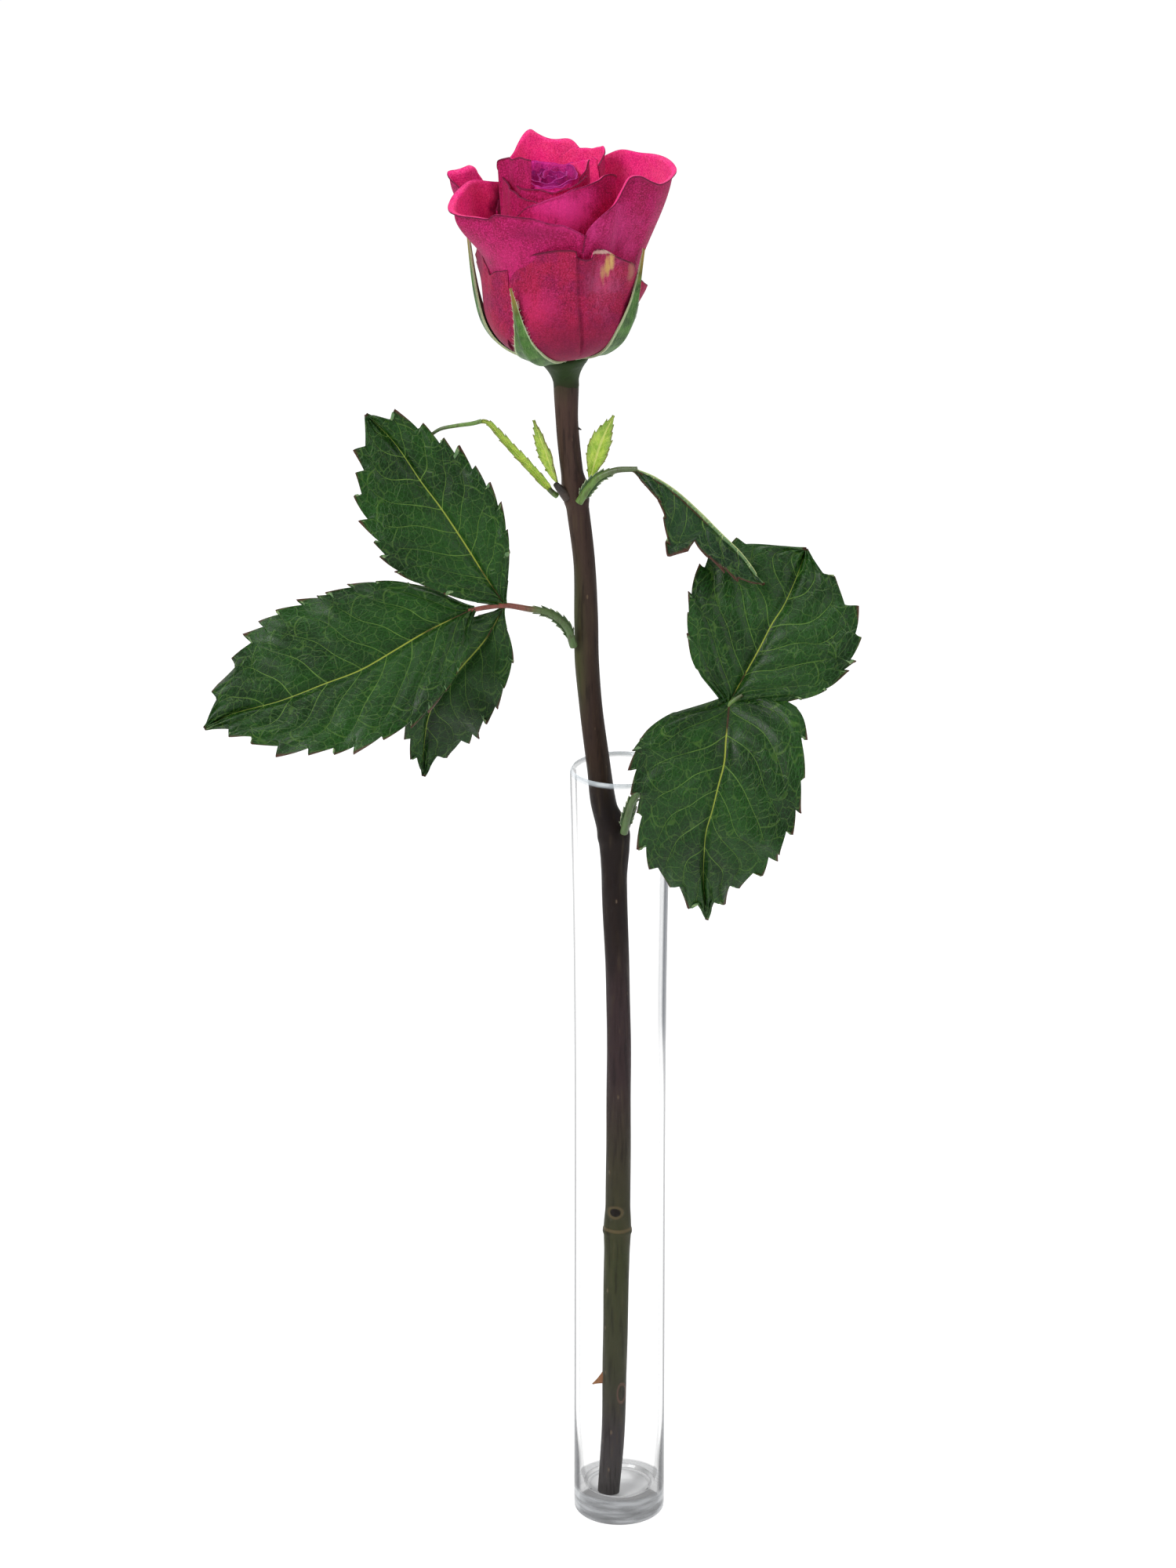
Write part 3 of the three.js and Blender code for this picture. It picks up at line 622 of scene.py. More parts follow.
# the full-grown leaflets, from the foot of each midrib to its tip
LEAFLETS = {
    "lower_left_top": Leaflet(
        rib=[(-30.1, -9, 265.9), (-35.5, -8.5, 274), (-40.5, -7.5, 282), (-46.5, -6, 291),
             (-51.5, -4.5, 297.5), (-58.5, -2.5, 307.5), (-65.5, -1, 314.5)],
        face=(-0.15, -0.85, 0.5),
        plus=[0.5, 4.7, 8.9, 11.4, 12.6, 12.8, 11.9, 10.2, 7.7, 3.8, 0.2],
        minus=[1, 6.2, 11.7, 15.9, 18.2, 18.3, 17.2, 15.4, 11.3, 6.5, 0.2],
        fold=(10, 12), teeth=11, lobe=(1, 1), laterals=8,
    ),
    "lower_left_end": Leaflet(
        rib=[(-38.5, -10, 265), (-50, -14, 260.5), (-58, -17, 256.5), (-67, -20, 252), (-76, -22, 249),
             (-87.5, -24, 245), (-101, -25.5, 241.5), (-107, -26, 238)],
        face=(0.1, -0.8, 0.6),
        plus=[1.5, 9.4, 15.9, 19.4, 20.7, 21.2, 21.1, 19.5, 15, 6.6, 0.2],
        minus=[2, 10.5, 15.2, 17.7, 18.8, 19.1, 17.6, 14.7, 10.2, 4.8, 0.2],
        fold=(8, 8), teeth=13, lobe=(1, 1), laterals=9,
        marks=[
            ((-78.9, -19.5, 234.2), (1.5, 6, 0.6), "c8b98c"),
            ((-77.4, -19.5, 234.8), (0.6, 6, 0.5), "6a4a2a"),
        ],
    ),
    "lower_left_low": Leaflet(
        rib=[(-30.3, -8.6, 265.2), (-35, -5.5, 255.5), (-42.5, -3, 245.5), (-49.5, -1, 234.5),
             (-51.5, 1, 224), (-52, 2, 215)],
        face=(0.2, -0.85, 0.5),
        plus=[0.5, 5, 9, 11, 11, 9.5, 7.5, 6, 4, 2, 0.2],
        minus=[0.5, 3.4, 8.5, 11.4, 12.5, 12.9, 12.6, 12, 9.5, 3.7, 0.2],
        fold=(12, 12), teeth=10, laterals=8, columns=56,
    ),
    "lower_right_top": Leaflet(
        rib=[(27.9, -15, 241.2), (32, -13, 248.5), (36, -11, 255.5), (39, -9, 261), (42, -6.5, 265),
             (45.5, -2, 271.5), (48, 3, 277)],
        face=(0.15, -0.8, 0.55),
        plus=[1, 7.7, 14.4, 19.1, 21.2, 22, 21.6, 18.6, 12.9, 5.5, 0.2],
        minus=[1, 11.5, 16.3, 19.4, 21, 22.2, 22.5, 21.8, 19.2, 14.5, 0.2],
        fold=(10, 6), teeth=9, lobe=(2, 2), laterals=6,
    ),
    "lower_right_end": Leaflet(
        rib=[(27.8, -15.8, 240.7), (27, -22, 234), (26.5, -24.5, 228), (25, -25.5, 222), (23.5, -26, 215.5),
             (22, -25.5, 209.5), (21.5, -24, 201.5), (21.5, -22, 194), (22.5, -18, 182.5)],
        face=(-0.05, -0.93, 0.35),
        plus=[3, 15.7, 22.4, 22.3, 20.9, 18.1, 16, 13.2, 7.5, 2.4, 0.2],
        minus=[8, 18.4, 19.4, 20.5, 20.4, 19.2, 17.6, 14.6, 8, 2.9, 0.2],
        fold=(6, 6), teeth=11, lobe=(3, 9), laterals=8,
    ),
    "upper_right": Leaflet(
        rib=[(2.7, -1, 300.2), (8.5, -2.5, 298.3), (14, -4, 295), (20, -6, 290), (25.5, -8.5, 285),
             (31, -11, 280), (36.5, -14, 273)],
        face=(0.55, -0.1, 0.8),
        plus=[1, 2, 3, 3.8, 4.5, 5.5, 6.8, 8.6, 10.6, 12.8, 14.6, 6.4, 6.8, 6.9, 6.7, 6.3, 5.8, 5.2, 4.4, 2.6,
              0.2],
        minus=[1, 3, 4, 5, 6, 6.5, 6.5, 6, 5, 3.5, 0.2],
        fold=(-75, -60), teeth=9, tooth=0.7, laterals=8, wave=0.3, columns=48, angular=True,
        shades=("0c2410", "183818"),
    ),
}

# the young leaves, each a CAD node of its own
YOUNG = {
    "upper_left": Leaflet(
        rib=[(-17.8, 5.7, 291.8), (-20.6, 5, 295.3), (-24, 4, 299.4), (-28, 3.2, 304), (-32, 2.6, 308.8),
             (-34.5, 2.3, 311.4), (-37, 2.2, 311.8)],
        face=(0.3, -0.9, 0.3),
        plus=[0.7, 0.9, 1, 1, 1.1, 1.1, 1, 0.9, 0.8, 0.6, 0.3],
        minus=[0.8, 1.3, 1.4, 1.3, 1.2, 1.2, 1.1, 1, 0.8, 0.6, 0.3],
        fold=(50, 50), teeth=10, tooth=0.3, laterals=10, wave=0.15, columns=20,
    ),
    "small_left": Leaflet(
        rib=[(-16.6, 6.2, 294), (-17.8, 5.6, 297), (-19, 5.2, 301), (-20.8, 5, 306), (-22.6, 5, 311.2)],
        face=(-0.7, -0.6, 0.3),
        plus=[0.5, 1.1, 1.8, 2.2, 2.3, 2, 1.4, 0.8, 0.2],
        minus=[0.5, 1.1, 1.8, 2.2, 2.3, 2, 1.4, 0.8, 0.2],
        fold=(25, 25), teeth=9, tooth=0.35, laterals=6, wave=0.15, columns=24,
    ),
    "small_right": Leaflet(
        rib=[(-8.1, 6, 293.4), (-7.4, 5.2, 298), (-5.2, 4.6, 305.5), (-2.1, 4.2, 312.7)],
        face=(-0.3, -0.8, 0.4),
        plus=[0.4, 0.8, 1.6, 2.5, 3, 2.8, 2.1, 1.1, 0.2],
        minus=[0.4, 0.8, 1.6, 2.4, 2.9, 2.7, 2, 1, 0.2],
        fold=(20, 20), teeth=10, tooth=0.35, laterals=7, wave=0.2, columns=24,
    ),
}

# each stalk's line from its foot, with its radius there and at its end
STALKS = {
    "lower_left": ([
        (-12.4, 3.3, 250.6), (-14.2, 0.8, 256.5), (-18.8, -3.5, 261.8), (-24.6, -7, 264.2),
        (-30.1, -9, 265.7), (-34.5, -9.5, 265.4), (-39.5, -10.3, 264.7),
    ], 1.05, 0.6),
    "lower_right": ([
        (0.9, 1.3, 199.2), (1.7, -0.5, 204), (3, -2.5, 209.4), (5.1, -4, 213.1), (8.8, -6.5, 219.1),
        (14.9, -9.5, 227.7), (21.9, -12.5, 235.3), (28, -15.5, 241),
    ], 1.05, 0.7),
    "upper_right": ([
        (-11, 2.2, 290), (-8.5, 1.8, 294), (-6, 1, 297), (-1.5, 0, 299.3), (4, -1.3, 300),
    ], 1.05, 0.7),
    "upper_left": ([(-16.7, 6.4, 290.6), (-17.4, 6, 291.2), (-18.8, 5.5, 292.7)], 0.8, 0.7),
    "thread": ([
        (-36, 2.2, 311.8), (-38.2, 2.2, 311.2), (-42.3, 2.2, 310.6), (-46.5, 2.6, 309.6), (-48.8, 3, 308.1),
        (-51.4, 3.5, 306.2),
    ], 0.6, 0.4),
    "lost_leaflet": ([(27.6, -15.4, 240.6), (29.2, -15.6, 242.2), (31.2, -15.6, 243.6)], 0.75, 0.45),
}
RED_STALKS = ("lower_left", "lower_right")

# the leafy edges along the foot of a stalk: the way they face and how wide they are
WINGS = {
    "lower_left": ((0.2, -0.9, 0.3), 1.3),
    "lower_right": ((0.2, -0.9, 0.2), 1.5),
    "upper_right": ((0.1, -0.9, 0.3), 1.5),
}
WING_SHARES = (0.1, 0.9, 1, 0.8, 0.65, 0.35)


def stalk_finish(name, reddish, green):
    """Smooth green stalk that turns reddish towards its end, with fine brown streaks."""
    finish = Finish(name, Roughness=0.45)
    place = finish.place()
    t = finish.split(finish.attribute("blade"), "Y")
    streak = finish.noise(finish.scaled(place, (1, 1, 0.25)), 1400, 3.0)
    patch = finish.noise(place, 120, 2.0)
    base = finish.coats(
        green,
        (finish.rise(t + 0.5 * (patch - 0.5), 0.35, 0.75), reddish),
        (finish.rise(streak, 0.45, 0.7) * 0.5, "3d2a1c"),
    )
    return finish.set(Base_Color=base).bump(streak, 0.08).material


def young_finish(name, under=False):
    """Thin yellow-green blade with fine veins, greener to its edges and tip; light comes through it."""
    finish = Finish(
        name, Roughness=0.5, Subsurface_Weight=0.2, Subsurface_Scale=0.002, Subsurface_Radius=(0.6, 1.0, 0.2),
    )
    s, t, flat = finish.laid()
    out = abs(s)
    part = (11 * (t - 0.12 * out)).fraction()
    lateral = finish.rise(part.least(1 - part), 0.13, 0.03)
    net = finish.rise(finish.cells(flat, 1.6), 0.12, 0.03)
    midrib = finish.rise(out, 0.16, 0.06)
    cloud = finish.noise(flat, 0.5, 3.0)
    base = finish.coats(
        finish.blend(finish.rise(cloud, 0.35, 0.65), "86a82e", "b2c84c"),
        (finish.rise(t, 0.5, 1.0) * 0.5, "56792f"),
        (finish.rise(out, 0.5, 0.95) * 0.4, "55782e"),
        ((lateral * 0.4).most(net * 0.25), "b8c878" if under else "c2cc6c"),
        (midrib * 0.7, "ccd078"),
        (finish.rise(out + 0.2 * cloud, 0.98, 1.08) * 0.6, "6a4a2c"),
    )
    return finish.set(Base_Color=base).bump(lateral.most(net * 0.6), 0.06 if under else -0.06).material


def wing_finish():
    """Thin green edge whose frayed rim has dried pale."""
    finish = Finish("leaf_wing", Roughness=0.6)
    flat = finish.attribute("flat")
    out = abs(finish.split(finish.attribute("blade"), "X"))
    fibre = finish.noise(finish.scaled(flat, (1, 0.3, 1)), 2.2, 3.0)
    base = finish.blend(fibre, "24401a", "3c5c28")
    base = finish.blend(finish.rise(out + 0.3 * fibre, 0.98, 1.2) * 0.8, base, "b9c3a0")
    return finish.set(Base_Color=base).bump(fibre, 0.08).material


def wing(line, face, width):
    """The two narrow leafy edges along the foot of a leaf stalk, frayed at their rim."""
    half = [share * width for share in WING_SHARES]
    return Leaflet(
        rib=line[:4], face=face, plus=half, minus=half, fold=(0, 0), teeth=9, tooth=0.5,
        laterals=6, wave=0.2, columns=16, steps=10,
    ).mesh()


def build_leaves():
    red_stalk = stalk_finish("leaf_stalk_red", "7a3f34", "4f6a38")
    green_stalk = stalk_finish("leaf_stalk_green", "4c5c36", "5f8038")
    young_top, young_under = young_finish("young_leaf_top"), young_finish("young_leaf_under", under=True)
    edge = wing_finish()
    for name, leaf in LEAFLETS.items():
        node = "leaf_upper_right" if name == "upper_right" else "leaf_" + name.rsplit("_", 1)[0]
        top = leaf_finish("blade_" + name, leaf)
        under = leaf_finish("blade_" + name + "_under", leaf, under=True)
        piece("leaflet_" + name, leaf.mesh(), [top, under], node)
        piece("rib_" + name, leaf.rib(), [under], None)
    for name, leaf in YOUNG.items():
        piece("leaflet_" + name, leaf.mesh(), [young_top, young_under], "leaf_" + name)
    for name, (line, foot, end) in STALKS.items():
        bm = rod(Path(line), lambda t, _, a=foot, b=end: a + (b - a) * t, sides=14, steps=60)
        finish = red_stalk if name in RED_STALKS else green_stalk
        piece("stalk_" + name, bm, [finish], None)
        if name in WINGS:
            piece("wing_" + name, wing(line, *WINGS[name]), [edge, edge], None)


# ---------------------------------------------------------------- vase
# the wall's outline, as radius and height, from the middle of its underside round to the middle of its floor
FOOT_UNDERSIDE = [(0, 0.35), (8, 0.3)]
FOOT_CURVE = [(10.6, 0), (11.7, 0.15), (12.3, 0.7), (12.5, 1.8)]
VASE_SIDE = [(12.5, 1.8), (12.45, 30), (12.4, 60), (12.3, 130), (12.6, 175), (13.1, 203)]
VASE_LIP = [
    (13.1, 203), (13.4, VASE_HEIGHT - 2.4), (13.35, VASE_HEIGHT - 0.9), (12.75, VASE_HEIGHT),
    (12.2, VASE_HEIGHT - 0.7), (12.1, VASE_HEIGHT - 2.4), (11.8, 203),
]
VASE_INSIDE = [
    (11.8, 203), (11.3, 175), (11, 130), (11.1, 60), (11, 18), (10.7, 11.5), (9.9, 8.2), (8.4, 6.4), (6, 5.5),
    (3, 5.1), (0, 5),
]
# how dark the glass's painted edge reflections are, from the foot up to the mouth
GLASS_EDGE_REFLECTION = [(0.0, 1.0), (0.15, 0.9), (0.45, 0.75), (0.7, 0.62), (0.85, 0.5), (1.0, 0.8)]


def vase_finish():
    """Clear wall seen by its painted grey edge reflections, with a grey foot slab of painted refraction
    bands, a painted highlight on the lip and a painted bright ring and floor inside it.

    The right edge is darker and bluer from a height of 120 to 205 mm, a painted reflection of the leaf
    that hangs there.
    """
    finish = Finish("clear_glass", Roughness=0.08, IOR=1.5)
    facing = finish.node("ShaderNodeLayerWeight", {}, {"Blend": 0.5}, output="Facing")
    place = finish.place()
    z = finish.split(place, "Z") / MM
    radius = (finish.split(place, "X") ** 2 + finish.split(place, "Y") ** 2) ** 0.5 / MM
    outside = finish.rise(radius, 11.6, 12.1)
    # painted shade: the edge lines grow darker and wider towards the foot
    low = finish.rise(z, 30, 9)
    # painted reflection: grey edge lines where the wall turns away, fading up the wall
    painted_edge_strength = finish.ramp(z / VASE_HEIGHT, GLASS_EDGE_REFLECTION)
    # painted reflection of the leaf beside the glass: a darker, bluer right edge from 120 to 205 mm
    right = finish.rise(finish.split(place, "X") / MM, 8, 10)
    right = right * finish.rise(z, 120, 150) * finish.rise(z, 205, 190)
    painted_edge_strength = painted_edge_strength.most(right)
    edge = finish.rise(facing + 0.2 * low + 0.14 * right, 0.68, 0.82) * painted_edge_strength * (0.25 + 0.75 * outside)
    # painted refraction: the thick foot is drawn as a grey slab with lighter and darker bands
    slab = finish.rise(z, 8.5, 7.5) * outside
    painted_refraction_band = finish.noise(finish.scaled(place, (0.15, 0.15, 1)), 500, 2.0)
    # painted shade: a dark line along the bottom edge of the foot
    foot = finish.rise(z, 0.9, 0.4)
    # painted highlight: a white ring where the inside wall meets the floor, and a paler white floor inside
    ring = finish.rise(abs(z - 7.4 + 0.25 * (10 - radius)), 0.9, 0.4) * finish.rise(radius, 8.6, 9.2)
    floor = 0.8 * finish.rise(z, 7, 6.4) * finish.rise(z, 3, 4.5)
    ring = ring.most(floor) * (1 - outside)
    # painted highlight: a pale band round the lip
    lip = finish.rise(z, VASE_HEIGHT - 1.5, VASE_HEIGHT - 0.9)
    clear = 0.01 + 0.85 * edge
    alpha = clear.most(slab * (0.35 + 0.4 * painted_refraction_band)).most(foot * 0.75).most(ring * 0.85).most(lip * 0.5)
    # the glass's colour is all painted light: grey edge reflections, darker low down and bluer on the right,
    # painted refraction in the foot, a pale painted highlight on the lip and a white painted ring inside
    grey = finish.coats(
        finish.blend(right, "50555c", "2c3848"),
        (low, "3c3e42"),
        (slab * (1 - foot), finish.ramp(painted_refraction_band, [(0.35, "4a4c50"), (0.62, "b4b7ba")])),
        (lip, "c8d0d6"),
        (ring, "ffffff"),
    )
    return finish.set(Base_Color=grey, Alpha=alpha.least(1.0)).material


def build_vase():
    """One turned wall of clear glass: rounded foot, thick floor, thin side and fire-polished lip."""
    profile = FOOT_UNDERSIDE + rounded(FOOT_CURVE, 4)
    for line in (VASE_SIDE, VASE_LIP, VASE_INSIDE):
        profile += rounded(line, 6)[1:]
    piece("vase_glass", turned(profile, VASE_TURNS), [vase_finish()], "vase", sharp=70)


# ---------------------------------------------------------------- stem
# the cane from its cut end up: x, y, z and radius
STEM = [
    (-2.9, -3.4, 6.4, 3.0), (-1.9, -2.8, 21, 3.2), (-1.1, -1.3, 54, 3.4), (-0.8, -0.2, 77, 3.5),
    (-0.7, 0.3, 85, 3.75), (-0.5, 0.7, 92, 3.4), (-0.3, 2.3, 127, 3.3), (-0.6, 3.7, 154, 3.2),
    (-1.6, 4.8, 184, 3.4), (-2.0, 5.4, 198, 4.2), (-4.3, 5.6, 205, 3.4), (-5.8, 5.8, 216, 3.15),
    (-7.8, 6.2, 233, 3.05), (-9.0, 6.6, 246, 3.2), (-9.1, 6.8, 256, 3.15), (-9.6, 7.0, 272, 2.85),
    (-11.2, 7.1, 287, 2.95), (-11.9, 7.2, 292, 3.5), (-12.8, 7.3, 297, 2.9), (-14.0, 7.8, 309, 2.9),
    (-14.3, 8.1, 321.6, 3.3),
]


# the rings at its nodes: how high they are, how wide and how far they stand out
NODE_RINGS = ((84.2, 0.7, 0.35), (197, 1.5, 0.2), (289, 1.2, 0.2))

# the bark's colours from the cut end up, by shares of a height in metres
BARK_HEIGHT = 0.33
BARK = [
    (0.0, "464442"), (0.07, "383334"), (0.13, "393929"), (0.23, "373a22"), (0.32, "383326"), (0.39, "342728"),
    (0.46, "322526"), (0.51, "211714"), (0.62, "19110e"), (0.67, "36281f"), (0.78, "463b2b"),
    (0.87, "46362c"), (0.955, "48362e"), (0.985, "383823"),
]


def stem_finish():
    """Bark: green at the top, then brown, near black at the mouth, purple, olive and slate at the end."""
    finish = Finish("stem_bark", Specular_IOR_Level=0.12)
    place = finish.place()
    x, z = finish.split(place, "X"), finish.split(place, "Z")
    streak = finish.noise(finish.scaled(place, (1, 1, 0.1)), 900, 4.0)
    patch = finish.noise(finish.scaled(place, (1, 1, 0.35)), 140, 3.0)
    grain = finish.noise(finish.scaled(place, (1, 1, 0.4)), 2600, 2.0)
    side = finish.rise(x + z * 0.045, 0.0035, -0.003)
    green = finish.rise(z, 0.225, 0.245) * finish.rise(z, 0.285, 0.262) * side * finish.rise(patch, 0.35, 0.6)
    spots = finish.cells(finish.scaled(place, (1, 1, 0.45)), 300, "F1")
    dots = finish.rise(spots, 0.12, 0.06)
    eye = finish.from_spot(place, (-1.3, -3.2, 90.6), (2.6, 3, 1.9))
    ring = finish.rise(abs(z - 0.0852 + 0.04 * x), 0.0006, 0.0002)
    scar = finish.from_spot(place, (0.7, -5.5, 37), (1.5, 4, 3.4))
    base = finish.coats(
        finish.ramp(z / BARK_HEIGHT + 0.03 * (patch - 0.5), BARK),
        (green * 0.8, "495a29"),
        ((1 - side) * finish.rise(z, 0.215, 0.235) * 0.45, "2f1e25"),
        (finish.rise(streak, 0.5, 0.7) * 0.55, "171011"),
        (finish.rise(streak, 0.46, 0.3) * 0.25, "504531"),
        (dots * 0.4, "7a6751"),
        (finish.rise(abs(eye - 0.8), 0.3, 0.05) * 0.6, "61533b"),
        (finish.rise(eye, 0.7, 0.5), "191410"),
        (ring * 0.7, "62543b"),
        (finish.rise(abs(scar - 0.85), 0.2, 0.05) * 0.5, "6c4e45"),
    )
    relief = 0.6 * streak + 0.4 * grain + 0.5 * dots + finish.rise(abs(eye - 0.8), 0.4, 0.1)
    return finish.set(Base_Color=base, Roughness=0.36 + 0.25 * patch).bump(relief, 0.12).material


# short side growths: where each starts and ends, how thick at its foot and its end, and how flat it is
SPURS = {
    "stub_low": ((0.4, 5.2, 198.5), (3.8, 5, 205.4), 1.7, 0.7, 1),
    "stub_high": ((-14, 5.4, 290.6), (-17, 3.4, 294.6), 1.5, 0.7, 1),
    "thorn": ((-1.8, -1.8, 41.5), (-7.4, -2.3, 38.7), 3.4, 0.2, 1.9),
    "prickle": ((-13, 7, 309.2), (-10.3, 6.8, 308.2), 1.3, 0.15, 1.6),
}


def spur_finish(name, foot, tip):
    """Dead wood or thorn, from the colour of its foot to that of its tip, with dark grain."""
    finish = Finish(name, Roughness=0.5)
    t = finish.split(finish.attribute("blade"), "Y")
    grain = finish.noise(finish.place(), 900, 3.0)
    base = finish.coats(
        foot,
        (finish.rise(t + 0.3 * (grain - 0.5), 0.2, 0.8), tip),
        (finish.rise(grain, 0.5, 0.75) * 0.5, "22160f"),
    )
    return finish.set(Base_Color=base).bump(grain, 0.08).material


def build_spurs():
    dark = spur_finish("spur_dark", "3a2c24", "221a18")
    orange = spur_finish("spur_thorn", "6a4024", "8a5a30")
    for name, (foot, tip, thick, thin, flatness) in SPURS.items():
        line = Path([foot, Vector(foot).lerp(Vector(tip), 0.5), tip])

        def radius(t, around, a=thick, b=thin, flatness=flatness):
            size = b + (a - b) * (1 - t) ** (1.3 if flatness > 1 else 0.8)
            return size / math.hypot(flatness * math.cos(around), math.sin(around))

        finish = orange if name == "thorn" else dark
        piece(name, rod(line, radius, sides=20, steps=16), [finish], None)


def build_stem():
    path = Path([station[:3] for station in STEM])
    heights = [station[2] for station in STEM]

    def radius(t, around):
        z = path.at(t).z
        upper = next((i for i in range(1, len(STEM)) if heights[i] >= z), len(STEM) - 1)
        share = eased((z - heights[upper - 1]) / (heights[upper] - heights[upper - 1]))
        plain = STEM[upper - 1][3] + (STEM[upper][3] - STEM[upper - 1][3]) * share
        rings = sum(far * hill(z, height, width) for height, width, far in NODE_RINGS)
        worn = 0.05 * math.sin(3 * around + z * 0.11) + 0.04 * math.sin(5 * around - z * 0.23)
        return plain + rings + worn

    piece("stem_cane", rod(path, radius, STEM_SIDES, STEM_STEPS), [stem_finish()], "stem")
    build_spurs()


# ---------------------------------------------------------------- flower
def in_flower(azimuth, r, h):
    """The point at radius r and height h over the flower's seat; 0 is its right and -90 degrees its front."""
    return (
        FLOWER_SEAT
        + FLOWER_RIGHT * (r * math.cos(azimuth))
        + FLOWER_BACK * (r * math.sin(azimuth))
        + FLOWER_AXIS * h
    )


def cup(h):
    """The cup's radius at height h, as a share of its widest."""
    return max(1 - (max(CUP_WIDEST_AT - h, 0) / CUP_CLOSES_OVER) ** CUP_POWER, 0) ** (1 / CUP_POWER)


class Petal:
    """A petal that rises from the seat along the cup to its rim, where its lip rolls out.

    belly is its radius where the cup is widest, and flare is where its side leaves the cup for the rim.
    rim holds points x, y, h in the flower's axes. roll, in degrees, is how far the lip turns and lip is
    how wide it turns, both read along the rim. creases are folds: where they lie across, how deep and wide
    they are and where they start and stop. ruffle is the height of the rim's waves.
    """

    # how far below and beside the rim its ways up and across are measured
    NEAR = 0.03

    def __init__(
        self, name, belly, rim, flare=(0.4, 1.1), kind="side", roll=(30, 30), lip=(0.6, 0.6), creases=(),
        ruffle=0.15, columns=72,
    ):
        self.name = name
        self.belly, self.flare = belly, flare
        self.rim = Path(rim)
        self.kind = kind
        self.roll, self.lip = roll, lip
        self.creases = creases
        self.ruffle = ruffle
        self.columns = columns
        chance = random.Random(name)
        self.phases = [chance.uniform(0, math.tau) for _ in range(6)]
        middle = self.rim.at(0.5)
        self.centre = math.atan2(middle.y, middle.x)

    @functools.lru_cache(maxsize=None)
    def end(self, s):
        """The rim at s: how far round from the petal's middle, how far out and how high."""
        end = self.rim.at((s + 1) / 2)
        off = math.atan2(end.y, end.x) - self.centre
        return math.atan2(math.sin(off), math.cos(off)), math.hypot(end.x, end.y), end.z

    def body(self, s, t):
        """The petal's own surface, without its lip."""
        swing, reach, top = self.end(s)
        azimuth = self.centre + swing * (ROOT_SPREAD + (1 - ROOT_SPREAD) * min(1, t / SPREAD_BY))
        h = PETAL_FOOT + (top - PETAL_FOOT) * t
        low, high = self.flare
        blend = eased(t, low, high) / eased(1, low, high)
        r = self.belly * cup(h) * (1 - blend) + reach * blend
        a, b, c, d, e, f = self.phases
        soft = math.sin(2.3 * s + 3 * t + a) + 0.6 * math.sin(4.1 * s - 5 * t + b)
        r += 0.16 * soft * min(1, 3 * t) * (1 - t)
        r += self.ruffle * t**6 * (math.sin(9 * s + c) + 0.6 * math.sin(15 * s + d))
        h += self.ruffle * 0.7 * t**6 * (math.sin(11 * s + e) + 0.5 * math.sin(19 * s + f))
        for where, depth, width, start, stop in self.creases:
            r -= depth * hill(s, where, width) * eased(t, start, start + 0.15) * eased(t, stop, stop - 0.2)
        return in_flower(azimuth, r, h)

    @functools.lru_cache(maxsize=None)
    def edge(self, s):
        """The lip at s: its start, the ways up and out there, its turn and width, and how far it sits in."""
        share = (s + 1) / 2
        bend = math.radians(straight_list(self.roll, share))
        lip = straight_list(self.lip, share)
        end = self.body(s, 1)
        up = (end - self.body(s, 1 - self.NEAR)).normalized()
        middle = clamp(s, self.NEAR - 1, 1 - self.NEAR)
        across = (self.body(middle + self.NEAR, 1) - self.body(middle - self.NEAR, 1)).normalized()
        out = across.cross(up).normalized()
        inset = up * (lip * math.sin(min(bend, math.pi / 2))) + out * (lip * (1 - math.cos(bend)))
        return end - inset, up, out, bend, lip, inset

    def place(self, s, t):
        start, up, out, bend, lip, inset = self.edge(s)
        if t <= LIP_START:
            share = t / LIP_START
            return self.body(s, share) - inset * share**5
        turn = bend * (t - LIP_START) / (1 - LIP_START)
        return start + up * (lip * math.sin(turn)) + out * (lip * (1 - math.cos(turn)))

    def flat(self, s, t):
        width = self.rim.length / 2 * (0.35 + 0.65 * t)
        return (s * width, (1 - t) * (self.end(s)[2] + 6), self.phases[0])

    def mesh(self):
        return thicken(sheet(self.columns, PETAL_STEPS, self.place, self.flat), PETAL_THICKNESS)


